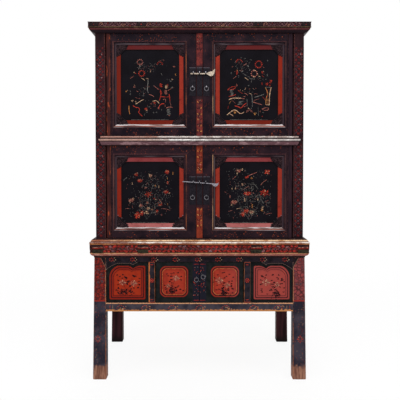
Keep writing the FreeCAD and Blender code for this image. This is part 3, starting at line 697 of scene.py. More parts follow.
finish = Finish("bare_board")
streak = finish.noise(.010, 5, (.08, 1, 1))
finish.colour = finish.mix(streak.rise(.3, .7), (112, 78, 56), (150, 112, 84))
finish.lay(finish.noise(.09, 2).rise(.5, .7) * .5, (86, 56, 42))
bare_board = finish.done(.65, streak, .0005)

dress("stand_panels", thin_lacquer)
dress("compartment_floor", bare_board)

# ---------------------------------------------------------------- stand top and carved mouldings
# Moulded frames of the stand's top, the cabinet's base, belt and cornice. Their bands are
# carved: the ground is cut down between two fillets, and ridges, leaves and pads stand in it.
X_BODY = .522
Y_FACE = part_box("post_front_left")[0].y
Y_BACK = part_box("post_back_left")[1].y


def moulding(name, low, bands, patches=(), top=None):
    """Finish of a moulding: (from, to, colour, worn colour, share of wear) bands by height,
    and (from, to, x where it starts, x where it is whole, colour) patches of another colour.
    On the pale beads the worn colour is partly painted highlight. Where top is given, the
    finish stays dull and dark above it."""
    finish = Finish(name)
    rub = finish.noise(.012, 5, (.35, .35, 1))
    patch = finish.noise(.07, 3, (.5, .5, 1))
    finish.colour = low
    level = finish.z + (rub - .5) * .0015
    for z0, z1, paint, bare, share in bands:
        shade = finish.mix((rub * .6 + patch * .4).rise(.62 - share * .3, .70 - share * .3),
                           paint, bare)
        finish.lay(level.band(z0, z1, .0006), shade)
    for z0, z1, x0, x1, paint in patches:
        share = level.band(z0, z1, .0006) * (finish.x + (rub - .5) * .16).rise(x0, x1)
        finish.lay(share * .85, paint)
    fine = finish.noise(.0042, 3, (.7, .7, 1), shift=4.0)
    finish.lay(fine.rise(.53, .61) * .45, (56, 32, 34))
    if top:
        finish.lay(finish.z.rise(top - .0012, top - .0004) * .85, (46, 31, 36))
    finish.lay(finish.worn() * rub.rise(.46, .58) * .4, (150, 112, 96))
    return finish.done(.42, rub, .0005)


def sunk(z0, z1, depth, x_end=X_BODY):
    """Cuts a band's ground down by depth on the front and the ends."""
    def shape(solid):
        for z in (z0, z0 + .0022, z1 - .0022, z1):
            bmesh.ops.bisect_plane(solid, geom=solid.verts[:] + solid.edges[:] + solid.faces[:],
                                   dist=1e-6, plane_co=(0, 0, z), plane_no=(0, 0, 1))
        for v in solid.verts:
            if z0 + .0012 < v.co.z < z1 - .0012:
                front = v.co.y < Y_FACE - .004
                if abs(v.co.x) > x_end + .004:
                    v.co.x -= math.copysign(depth, v.co.x)
                if front:
                    v.co.y += depth
    return shape


class Carving(Brush):
    """Carving on a band that runs along x. Heights count from the band's lower edge."""

    def __init__(self):
        super().__init__(0)

    def pad(self, x, z, long, tall, high, turn=0, colour=0):
        place = (Matrix.Translation((x, 0, z)) @ Matrix.Rotation(math.radians(-turn), 4, "Y")
                 @ Matrix.Diagonal((long / 2, high, tall / 2, 1))
                 @ Matrix.Rotation(math.pi / 2, 4, "X"))
        self.paint(bmesh.ops.create_uvsphere(self.bm, u_segments=8, v_segments=5, radius=1,
                                             matrix=place), colour)

    def block(self, x, z, long, tall, high, colour=0):
        made = bmesh.ops.create_cube(self.bm, size=1, matrix=Matrix.Translation((x, 0, z))
                                     @ Matrix.Diagonal((long, high * 2, tall, 1)))
        self.paint(made, colour)
        bmesh.ops.bevel(self.bm, geom=list({e for v in made["verts"] for e in v.link_edges}),
                        offset=min(tall, high) * .4, affect="EDGES", segments=2, profile=.5,
                        material=-1)

    def fitted(self, whole, out, z, turn=0):
        """Adds this band to a whole, out from the middle, turned to a side in degrees."""
        poured(self.drawn(), whole, Matrix.Rotation(math.radians(turn), 4, "Z")
               @ Matrix.Translation((0, out, z)))


def carved_bands(name, pattern, proud, z, finishes):
    """The same carved band on the front and on both sides of the cabinet."""
    whole = bmesh.new()
    for turn, half, out in ((0, X_BODY + proud, Y_FACE - proud),
                            (-90, (Y_BACK - Y_FACE + proud) / 2, -X_BODY - proud),
                            (90, (Y_BACK - Y_FACE + proud) / 2, -X_BODY - proud)):
        band = Carving()
        shift = 0 if turn == 0 else math.copysign((Y_BACK + Y_FACE - proud) / 2, -turn)
        pattern(band, half, turn == 0)
        if shift:
            bmesh.ops.translate(band.drawn(), verts=band.bm.verts, vec=(-shift, 0, 0))
        band.fitted(whole, out, z, turn)
    piece(name, whole, "cabinet", "carved_moulding", finishes)


def relief(name, high, low):
    """Carved wood: its lacquer mottled between a rubbed light colour and a dark one."""
    finish = Finish(name)
    rub = finish.noise(.009, 5)
    finish.colour = finish.mix(rub.rise(.36, .60), low, high)
    finish.lay(finish.noise(.08, 3).rise(.45, .65) * .45, low)
    return finish.done(.45, rub, .0005)


CARVED = [relief("red_carving", (168, 46, 38), (104, 32, 29)),
          relief("rubbed_carving", (176, 126, 106), (96, 58, 52)),
          relief("olive_strap", (50, 46, 34), (28, 25, 22)),
          relief("plum_carving", (136, 98, 100), (76, 48, 52)),
          relief("dark_carving", (44, 30, 32), (28, 20, 22))]
r_red, r_light, r_olive, r_plum, r_dark = range(5)

# Stand top: a cove and the lower bead.
cap_low, cap_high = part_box("stand_top")
cap_paint = moulding("stand_top_paint", (52, 34, 34), [
    (cap_low.z - .01, cap_low.z + .0090, (30, 22, 26), (50, 34, 34), .1),
    (cap_low.z + .0092, cap_low.z + .0225, (166, 102, 90), (196, 142, 124), .30),
    (cap_low.z + .0222, cap_low.z + .0266, (164, 108, 72), (204, 152, 108), .6),
    (cap_low.z + .0266, cap_high.z + .01, (52, 24, 22), (86, 34, 28), .45)])
eased("stand_top", "carved_moulding", cap_paint, .0012)

# Base of the cabinet: the tall carved band, an orange line, a rubbed bead and an ovolo. The bead's
# near-white and the ovolo's light shade are partly painted highlight, and the dark strip at the top is a
# painted shadow under the door bottoms.
base_low, base_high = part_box("base_front")
band0, band1 = base_low.z, base_low.z + .042
base_paint = moulding("base_paint", (60, 30, 28), [
    (band0 - .01, band1 - .0030, (52, 24, 22), (86, 34, 28), .45),
    (band1 - .0034, band1 + .0022, (166, 92, 54), (198, 138, 90), .5),
    # bead: near-white that is partly rubbed wear and partly painted highlight
    (band1 + .0028, band1 + .0098, (190, 160, 146), (234, 224, 216), .55),
    (band1 + .0102, band1 + .0124, (78, 42, 34), (104, 60, 44), .3),
    # ovolo: its light shade is partly painted highlight
    (band1 + .0124, band1 + .0190, (186, 132, 90), (224, 186, 146), .55),
    # painted shadow under the door bottoms, dark over the top of the ledge too
    (band1 + .0190, base_high.z + .01, (34, 24, 27), (60, 38, 36), .2)],
    [(band1 + .0028, band1 + .0098, -.26, -.36, (112, 60, 48)),
     (band1 + .0124, band1 + .0190, -.34, -.46, (140, 76, 56))])
for node in ("base_front", "base_left", "base_right"):
    eased(node, "carved_moulding", base_paint, .0008, sunk(band0, band1, .0026))


def bays(half, straps, gap, pitch):
    """(start, step, count) of each bay between straps, for a pattern of about that pitch."""
    ends = [-half + .004, *straps, half - .004]
    for u0, u1 in zip(ends, ends[1:]):
        u0, u1 = u0 + gap * (u0 in straps), u1 - gap * (u1 in straps)
        count = round((u1 - u0) / pitch)
        if count > 0:
            yield u0, (u1 - u0) / count, count


def key_band(carving, half, front):
    """Two rows of red ovals under crossing ridges, between straps of olive pads."""
    middle = (band1 - band0) / 2 - .0045
    straps = (-.509, -.282, .284, .517) if front else (-.245, .245)
    for u0, step, count in bays(half, straps, .028, .046):
        for sign in (-1, 1):
            for lane in (0, .5):
                carving.line([(u0 + step * (i / 2), middle + sign * (-1) ** i * .0210 * (1 - lane))
                              for i in range(2 * count + 1)], .0022, r_plum if lane else r_red,
                             .0024)
        for i in range(2 * count):
            u = u0 + step * (i / 2 + .25)
            for row in (-1, 1):
                carving.pad(u + row * step * .10, middle + row * chance.uniform(.0100, .0140),
                            step * chance.uniform(.34, .54), chance.uniform(.0090, .0135), .0021,
                            chance.uniform(-30, 30), r_red if chance.random() < .8 else r_plum)
    for u in straps:
        carving.block(u, middle + .0165, .052, .0085, .0026, r_dark)
        carving.block(u, middle - .0125, .052, .0180, .0026, r_olive)
        for up in (.0035, .0085):
            carving.line([(u - .026, middle + up), (u - .009, middle + up - .003),
                          (u + .009, middle + up + .002), (u + .026, middle + up)], .0036,
                         r_red if up < .005 else r_light, .0024)


carved_bands("base_carving", key_band, .0262, band0, CARVED)

# Cornice: the carved fascia over two ovolos.
corn_low, corn_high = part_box("cornice_front")
c0, c1 = corn_high.z - .0265, corn_high.z - .0020
cornice_paint = moulding("cornice_paint", (44, 26, 31), [
    (corn_low.z - .01, corn_low.z + .0100, (36, 27, 33), (56, 38, 43), .2),
    (corn_low.z + .0100, corn_low.z + .0195, (84, 44, 46), (116, 70, 64), .3),
    (corn_low.z + .0195, corn_low.z + .0222, (22, 15, 19), (34, 24, 26), .1),
    (c0 - .0008, c0 + .0018, (92, 76, 56), (120, 104, 72), .4),
    (c0 + .0018, c1, (48, 26, 32), (72, 34, 38), .3),
    (c1, corn_high.z + .01, (54, 34, 40), (92, 62, 66), .3)], top=corn_high.z)
for node in ("cornice_front", "cornice_left", "cornice_right"):
    eased(node, "carved_moulding", cornice_paint, .0008, sunk(c0, c1, .0024))


def cloud_band(carving, half, front):
    """Curling clouds between straps, with a few red berries."""
    middle = (c1 - c0) / 2
    straps = (-.522, -.287, .289, .526) if front else (-.245, .245)
    for u0, step, count in bays(half, straps, .026, .040):
        for i in range(count):
            u = u0 + step * (i + .5)
            flip = (-1) ** i
            tint = r_light if i % 3 == 0 else r_plum
            for paint, curl in ((tint, ((-.50, -.0060), (-.34, .0085), (-.08, .0085), (.06, .0010),
                                        (-.10, -.0030), (-.20, .0020))),
                                (r_plum, ((.04, .0020), (.16, -.0085), (.42, -.0080), (.50, .0060)))):
                carving.line([(u + step * along, middle + flip * up) for along, up in curl], .0027,
                             paint, .0022)
            carving.pad(u + step * .30, middle + flip * .0055, step * .20, .0050, .0020, 14 * flip,
                        r_plum)
            carving.pad(u - step * .30, middle - flip * .0065, step * .18, .0046, .0020, -14 * flip,
                        r_red if i % 3 == 1 else r_plum)
    for u in straps:
        carving.block(u, middle, .044, .0200, .0018, r_dark)
        carving.pad(u, middle, .010, .0065, .0022, 0, r_red)


carved_bands("cornice_carving", cloud_band, .0284, c0, CARVED)

# Belt: a sloping carved band under two rubbed beads, across the front only. The beads' near-white is
# partly wear and partly painted highlight.
belt_low, belt_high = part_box("belt_moulding")
b0, b1 = belt_low.z, belt_low.z + .0195
belt_paint = moulding("belt_paint", (70, 48, 52), [
    (b0 - .01, b0 + .0020, (66, 46, 50), (100, 72, 74), .3),
    (b0 + .0020, b1 - .0016, (102, 72, 78), (146, 114, 118), .4),
    (b1 - .0016, b1 + .0012, (34, 24, 27), (56, 40, 42), .2),
    # main bead: near-white that is partly rubbed wear and partly painted highlight
    (b1 + .0012, b1 + .0106, (192, 184, 180), (234, 230, 226), .5),
    (b1 + .0106, b1 + .0160, (30, 20, 22), (50, 34, 34), .2),
    # top bead: pale colour that is partly rubbed wear and partly painted highlight
    (b1 + .0164, belt_high.z + .01, (160, 142, 136), (212, 202, 196), .5)],
    [(b1 + .0012, b1 + .0106, -.10, -.30, (176, 132, 118)),
     (b1 + .0164, belt_high.z + .01, -.10, -.30, (158, 108, 94))])
eased("belt_moulding", "carved_moulding", belt_paint, .0006, sunk(b0, b1, .0018, .481))

belt_carving = Carving()
middle = (b1 - b0) / 2
LEAVES, LEAF_PITCH = 42, .0226
for i in range(LEAVES):
    u = (i - (LEAVES - 1) / 2) * LEAF_PITCH
    flip = (-1) ** i
    belt_carving.pad(u - .004, middle + .001, .014, .0080, .0024, 32 * flip, r_plum)
    belt_carving.pad(u + .006, middle - .002, .009, .0055, .0022, -40 * flip, r_plum)
    if i % 5 == 2:
        belt_carving.pad(u + .0055, middle + .0045, .005, .0035, .0022, 0, r_red)
lean = Matrix.Rotation(math.atan(.006 / .0195), 4, "X")
bmesh.ops.transform(belt_carving.bm, matrix=lean, verts=belt_carving.bm.verts)
whole = bmesh.new()
belt_carving.fitted(whole, Y_FACE - .0075, b0)
piece("belt_carving", whole, "cabinet", "carved_moulding", CARVED)

# ---------------------------------------------------------------- cabinet: carcase
# Posts, rails and thin panels, lacquered dark outside. The front posts carry carved rows of
# red pads under crossing ridges, with small beads painted pale as highlights, and the fixed stiles
# painted vines.
finish = Finish("post_lacquer")
blot = finish.noise(.05, 4, (1, 1, .5))
rub = finish.noise(.006, 4)
finish.colour = finish.mix(blot.rise(.3, .7), (28, 17, 21), (46, 26, 30))
finish.lay(rub.rise(.70, .76) * .5, (112, 46, 38))
finish.lay(finish.worn() * rub.rise(.4, .55) * .6, (96, 60, 56))
post_lacquer = finish.done(.42, rub, .0004)
for node in ("post_front_left", "post_front_right", "post_back_left", "post_back_right"):
    eased(node, "lacquer_carcase", post_lacquer, .0015)
for node in ("side_panels_left", "side_panels_right", "back_panels", "top_panel"):
    dress(node, thin_lacquer)
for node in ("belt_rail", "carcase_rails"):
    dress(node, post_lacquer)
for node in ("cabinet_floor", "tier_divider", "shelves"):
    dress(node, bare_board)

LATTICE = [relief("lattice_red", (100, 30, 30), (46, 19, 22)),
           relief("lattice_ridge", (104, 76, 82), (44, 28, 33)),
           relief("lattice_bead_highlight", (186, 162, 158), (120, 96, 98))]
post_low, post_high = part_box("post_front_left")
for side, sign in (("left", -1), ("right", 1)):
    lattice = Carving()
    for z0, z1 in ((post_low.z + .014, b0 - .010), (belt_high.z + .014, post_high.z - .090)):
        count = round((z1 - z0) / .030)
        step = (z1 - z0) / count
        for i in range(count + 1):
            v = z0 + step * i
            lattice.pad(0, v, .0165, .0140, .0015, 0, 0)
            for a in (-1, 1):
                lattice.pad(.0135 * a, v + step / 2, .0110, .0140, .0013, 0, 0)
                lattice.line([(-.0175 * a, v), (0, v + step / 2), (.0175 * a, v + step)] if i < count
                             else [(-.0175 * a, v), (-.010 * a, v + .010)], .0021, 1, .0015)
            # small beads in a pale colour that stands for painted highlights on the carving
            if i % 4 == 1:
                lattice.pad(.0085, v + step / 2, .0052, .0044, .0020, 0, 2)
            elif i % 2:
                lattice.pad(-.0070, v + step / 2 + .002, .0030, .0030, .0019, 0, 2)
    whole = bmesh.new()
    bmesh.ops.translate(lattice.drawn(), verts=lattice.bm.verts, vec=(sign * .4970, 0, 0))
    lattice.fitted(whole, Y_FACE + .0004, 0)
    piece("post_lattice_" + side, whole, "cabinet", "carved_moulding", LATTICE)

finish = Finish("vine_stile")
blot = finish.noise(.03, 4)
rub = finish.noise(.006, 4)
lower = finish.z.rise(1.21, 1.20)
deep = finish.mix(lower, (70, 32, 36), (98, 38, 28))
fresh = finish.mix(lower, (118, 48, 42), (136, 54, 36))
finish.colour = finish.mix((blot * .6 + rub * .4).rise(.38, .62), deep, fresh)
by_plates = finish.z.band(.872, 1.046, .006) | finish.z.band(1.415, 1.585, .006)
finish.lay(by_plates, (46, 28, 32))
finish.lay((finish.side + (rub - .5) * .004).rise(.0140, .0156), (54, 28, 30))
vine_stile = finish.done(.45, rub, .0006)
for tier in ("upper", "lower"):
    eased("centre_stile_" + tier, "red_stile", vine_stile, .0012)

chance = random.Random(8)
brush = Brush(Y_FACE)
for z0, z1, vine, leaf, dots in ((1.655, 1.735, ink, ink, 10), (1.245, 1.415, ink, gold, 22),
                                 (1.052, 1.170, ink, gold, 14), (.770, .875, ink, gold, 20)):
    count = round((z1 - z0) / .028)
    step = (z1 - z0) / count
    brush.line([(.0070 * (-1) ** i, z0 + step * i) for i in range(count + 1)], .0028, vine)
    for i in range(count):
        for a in (-1, 1):
            brush.dab(.0085 * a, z0 + step * (i + .5) + chance.uniform(-.003, .003), .0120, .0060,
                      chance.uniform(20, 70) * a, leaf if (i + a) % 3 else ink)
    for i in range(dots):
        brush.dab(chance.uniform(-.011, .011), chance.uniform(z0, z1), .0036, .0032, 0,
                  (cream, ink, pink)[i % 3])
brush.dab(0, 1.090, .024, .0075, 0, pink)
brush.done("stile_vines", "cabinet", COLOURS)

# ---------------------------------------------------------------- cabinet: door frames
# Mitred members in plum-black lacquer. A round pole of redder wood stands along the hinge
# side, and a bevelled moulding runs round the panel. Below the panel the bevel faces up, and
# its pale strips are partly wear and partly painted highlight.
DOOR_SIDES = (("left", -1), ("right", 1))
REBATE, POLE_SIDE = .006, .4465
# Strips of the bevel below the panel, out from its edge: a pale colour, partly painted highlight and
# partly wear, and a dull one.
LIT_LOWER_BEADS = ((.0002, .0076, (198, 194, 196), (116, 94, 90)),
               (.0078, .0122, (142, 80, 62), (76, 42, 38)),
               (.0126, .0170, (138, 126, 128), (72, 56, 60)),
               (.0174, .0190, (20, 14, 17), (20, 14, 17)))


def panel_opening(tier):
    """Middle and half sizes, in |x| and z, of what the moulding leaves open, and its depth."""
    low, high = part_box("door_panel_" + tier + "_right")
    return ((low.x + high.x) / 2, (low.z + high.z) / 2, (high.x - low.x) / 2 - REBATE,
            (high.z - low.z) / 2 - REBATE, low.y)


def door_frame_finish(tier):
    cx, cz, hx, hz, _ = panel_opening(tier)
    finish = Finish("door_frame_" + tier)
    blot = finish.noise(.06, 4)
    rub = finish.noise(.007, 5)
    long_rub = finish.noise(.012, 5, (1, 1, .12))
    cross_rub = finish.noise(.012, 5, (.12, 1, 1))
    warm = blot if tier == "upper" else blot + .12
    finish.colour = finish.mix(warm.rise(.38, .72), (22, 16, 23), (42, 27, 33))
    left = finish.x.rise(.1, -.1)

    dx = finish.side - cx
    dz = finish.z - cz
    out_x = abs(dx) - hx
    out_z = abs(dz) - hz
    out = out_x | out_z
    flat = finish.y.rise(Y_FACE + .010, Y_FACE + .009)
    level = (out_z - out_x).rise(-.0004, .0004)
    below = dz.rise(0, -.001)
    meeting = dx.rise(0, -.001)
    rail = out.rise(.0190, .0200) * level
    fleck = finish.noise(.0056, 2, shift=1.0).rise(.655, .70)
    fleck = fleck * finish.noise(.045, 2, shift=2.0).rise(.38, .52)
    finish.lay(fleck * (rail + .25) * (.7 if tier == "upper" else .9), (168, 76, 44))
    # painted highlight, partly wear, on the up-facing bevel below the panel
    lit_lower_bead = flat * level * below
    for low, high, pale, dull in LIT_LOWER_BEADS:
        strip = finish.mix((cross_rub - (tier == "upper") * .05).rise(.42, .60), pale, dull)
        finish.lay(lit_lower_bead * out.band(low, high, .0003), strip)
    upper_bead = flat * level * (1 - below)
    grey = finish.mix(cross_rub.rise(.38, .60), (98, 86, 92), (48, 36, 42))
    finish.lay(upper_bead * out.band(.0030, .0090, .0004) * .9, grey)
    finish.lay(upper_bead * out.band(.0180, .0196, .0003) * .6, (96, 44, 48))
    hinge_side = flat * (1 - level) * (1 - meeting)
    crest = finish.mix(long_rub.rise(.40, .60), (92, 58, 54), (54, 34, 36))
    finish.lay(hinge_side * out.band(.0135, .0195, .0004) * (left * .7 + .3), crest)
    finish.lay(hinge_side * out.band(.0005, .0080, .0006) * .7, (66, 54, 60))
    meet_side = flat * (1 - level) * meeting * (1 - left)
    tan = finish.mix(long_rub.rise(.46, .56), (84, 50, 44), (168, 132, 100))
    finish.lay(meet_side * out.band(.0128, .0162, .0004), tan)
    finish.lay(meet_side * out.band(.0045, .0080, .0004) * .8, (92, 80, 84))
    rust = finish.mix(long_rub.rise(.42, .58), (58, 33, 32), (140, 74, 44))
    finish.lay(flat * (1 - level) * meeting * left * out.band(.0128, .0162, .0004), rust)

    pole = finish.side.rise(POLE_SIDE - .0015, POLE_SIDE)
    streak = finish.mix(long_rub.rise(.44, .64), (50, 27, 28), (84, 40, 34))
    orange = finish.noise(.014, 3, (1, 1, .25), shift=5.0).rise(.62, .68) * left
    streak = finish.mix(orange * .8, streak, (158, 70, 40))
    dull = finish.mix(long_rub.rise(.4, .7), (34, 23, 30), (54, 34, 40))
    finish.lay(pole, finish.mix(left, dull, streak))
    finish.lay(finish.side.band(.4432, .4455, .0003), (18, 12, 15))
    finish.lay(finish.worn() * rub.rise(.45, .6) * .4, (104, 70, 64))
    return finish.done(.40, rub, .0004)


for tier in ("upper", "lower"):
    paint = door_frame_finish(tier)
    for side, _ in DOOR_SIDES:
        eased("door_frame_" + tier + "_" + side, "lacquer_door", paint, .0007)

# ---------------------------------------------------------------- cabinet: door panels
# A red border round a black field. Carved corner leaves lie over the border, and the field
# is painted with traditional blossom sprays and scholars' furnishings. The border's width,
# the middle of a painting and half the length of the line under it come first.
BORDER, FIELD_MIDDLE, EDGE_LINE = .022, .2485, .095


def panel_finish(tier, side, top, bottom, hinge, meet):
    cx, cz, hx, hz, _ = panel_opening(tier)
    finish = Finish("door_panel_" + tier + "_" + side)
    blot = finish.noise(.05, 4)
    rub = finish.noise(.010, 5)
    dx = finish.side - cx
    dz = finish.z - cz
    out_x = abs(dx) - (hx - BORDER)
    out_z = abs(dz) - (hz - BORDER)
    out = out_x | out_z
    level = (out_z - out_x).rise(-.0005, .0005)
    uprights = finish.mix(dx.rise(-.001, .001), meet, hinge)
    levels = finish.mix(dz.rise(-.001, .001), bottom, top)
    finish.colour = finish.mix(level, uprights, levels)
    finish.lay(blot.rise(.42, .70) * .35, (92, 26, 22))
    finish.lay(rub.rise(.62, .72) * .6, (60, 22, 22))
    black = finish.mix(finish.noise(.08, 3).rise(.35, .7), (18, 16, 21), (14, 12, 16))
    finish.lay(out.band(.0, .0022, .0004), (24, 16, 18))
    inner = out.rise(.0006, -.0002)
    finish.lay(inner, black)
    return finish.done(.42, rub, .0003)


# Each side of a border takes its own red: on the lower doors the top and bottom sides are pinker than
# the uprights, and on the upper doors the top side is darker.
maroon_red, deep_red, plain_red = (86, 31, 32), (104, 31, 20), (128, 36, 22)
brick_red, rose_red, salmon_red = (140, 46, 34), (130, 56, 58), (168, 96, 94)
PANEL_REDS = {("upper", "left"): (maroon_red, deep_red, deep_red, brick_red),
              ("upper", "right"): (maroon_red, deep_red, plain_red, brick_red),
              ("lower", "left"): (rose_red, salmon_red, plain_red, brick_red),
              ("lower", "right"): (rose_red, salmon_red, brick_red, brick_red)}
for (tier, side), reds in PANEL_REDS.items():
    dress("door_panel_" + tier + "_" + side, panel_finish(tier, side, *reds))


def leaf_finish(name, high, low):
    """Dark carved lacquer, darkest where a leaf lies over the black field."""
    finish = Finish(name)
    rub = finish.noise(.009, 5)
    finish.colour = finish.mix(rub.rise(.36, .60), low, high)
    for tier in ("upper", "lower"):
        cx, cz, hx, hz, _ = panel_opening(tier)
        out = (abs(finish.side - cx) - hx + BORDER) | (abs(finish.z - cz) - hz + BORDER)
        finish.lay(out.rise(.003, -.005) * .8, (19, 16, 20))
    return finish.done(.45, rub, .0005)


LEAF_FINISHES = [leaf_finish("corner_leaf", (36, 25, 29), (20, 15, 19)),
                 leaf_finish("leaf_rib", (90, 66, 69), (46, 32, 36)),
                 leaf_finish("leaf_bead", (150, 140, 146), (96, 86, 92))]


def corner_leaf(whole, x, z, y, flip_x, flip_z, beads):
    """A fan of ribbed lobes with a scalloped edge, which grows from a corner of the panel."""
    fan = Carving()
    reach = ((3, .057), (15, .054), (27, .049), (39, .046), (51, .046), (63, .049), (75, .053),
             (87, .056))
    for i, (turn, long) in enumerate(reach):
        a = math.radians(turn)
        fan.pad(long * .5 * math.cos(a), long * .5 * math.sin(a), long, .0125, .0026, turn, 0)
        fan.pad(long * .90 * math.cos(a), long * .90 * math.sin(a), .0125, .0125, .0030, turn, 0)
        fan.line([(.012 * math.cos(a), .012 * math.sin(a)),
                  (long * .6 * math.cos(a + .05), long * .6 * math.sin(a + .05)),
                  (long * .93 * math.cos(a), long * .93 * math.sin(a))], .0022, 1, .0036)
        if beads and i % 2:
            fan.pad(long * 1.06 * math.cos(a), long * 1.06 * math.sin(a), .0045, .0045, .0026, 0, 2)
    fan.pad(.011, .011, .024, .020, .0036, 45, 0)
    fan.line([(.004, .019), (.016, .016), (.019, .004)], .0026, 1, .0042)
    fan.drawn()
    bmesh.ops.bisect_plane(fan.bm, geom=fan.bm.verts[:] + fan.bm.edges[:] + fan.bm.faces[:],
                           plane_co=(0, .0004, 0), plane_no=(0, 1, 0), clear_outer=True)
    bmesh.ops.holes_fill(fan.bm, edges=[e for e in fan.bm.edges if e.is_boundary], sides=0)
    bmesh.ops.transform(fan.bm, verts=fan.bm.verts, matrix=Matrix.Translation((x, y, z))
                        @ Matrix.Diagonal((flip_x, 1, flip_z, 1)))
    if flip_x * flip_z < 0:
        bmesh.ops.reverse_faces(fan.bm, faces=fan.bm.faces)
    poured(fan.bm, whole)


for tier in ("upper", "lower"):
    cx, cz, hx, hz, y = panel_opening(tier)
    for side, sign in DOOR_SIDES:
        whole = bmesh.new()
        for flip_x in (-1, 1):
            for flip_z in (-1, 1):
                corner_leaf(whole, sign * cx - flip_x * hx, cz - flip_z * hz, y, flip_x, flip_z,
                            tier == "lower" and flip_z > 0)
        piece("corner_leaves_" + tier + "_" + side, whole,
              body_of("door_frame_" + tier + "_" + side), "lacquer_door", LEAF_FINISHES)

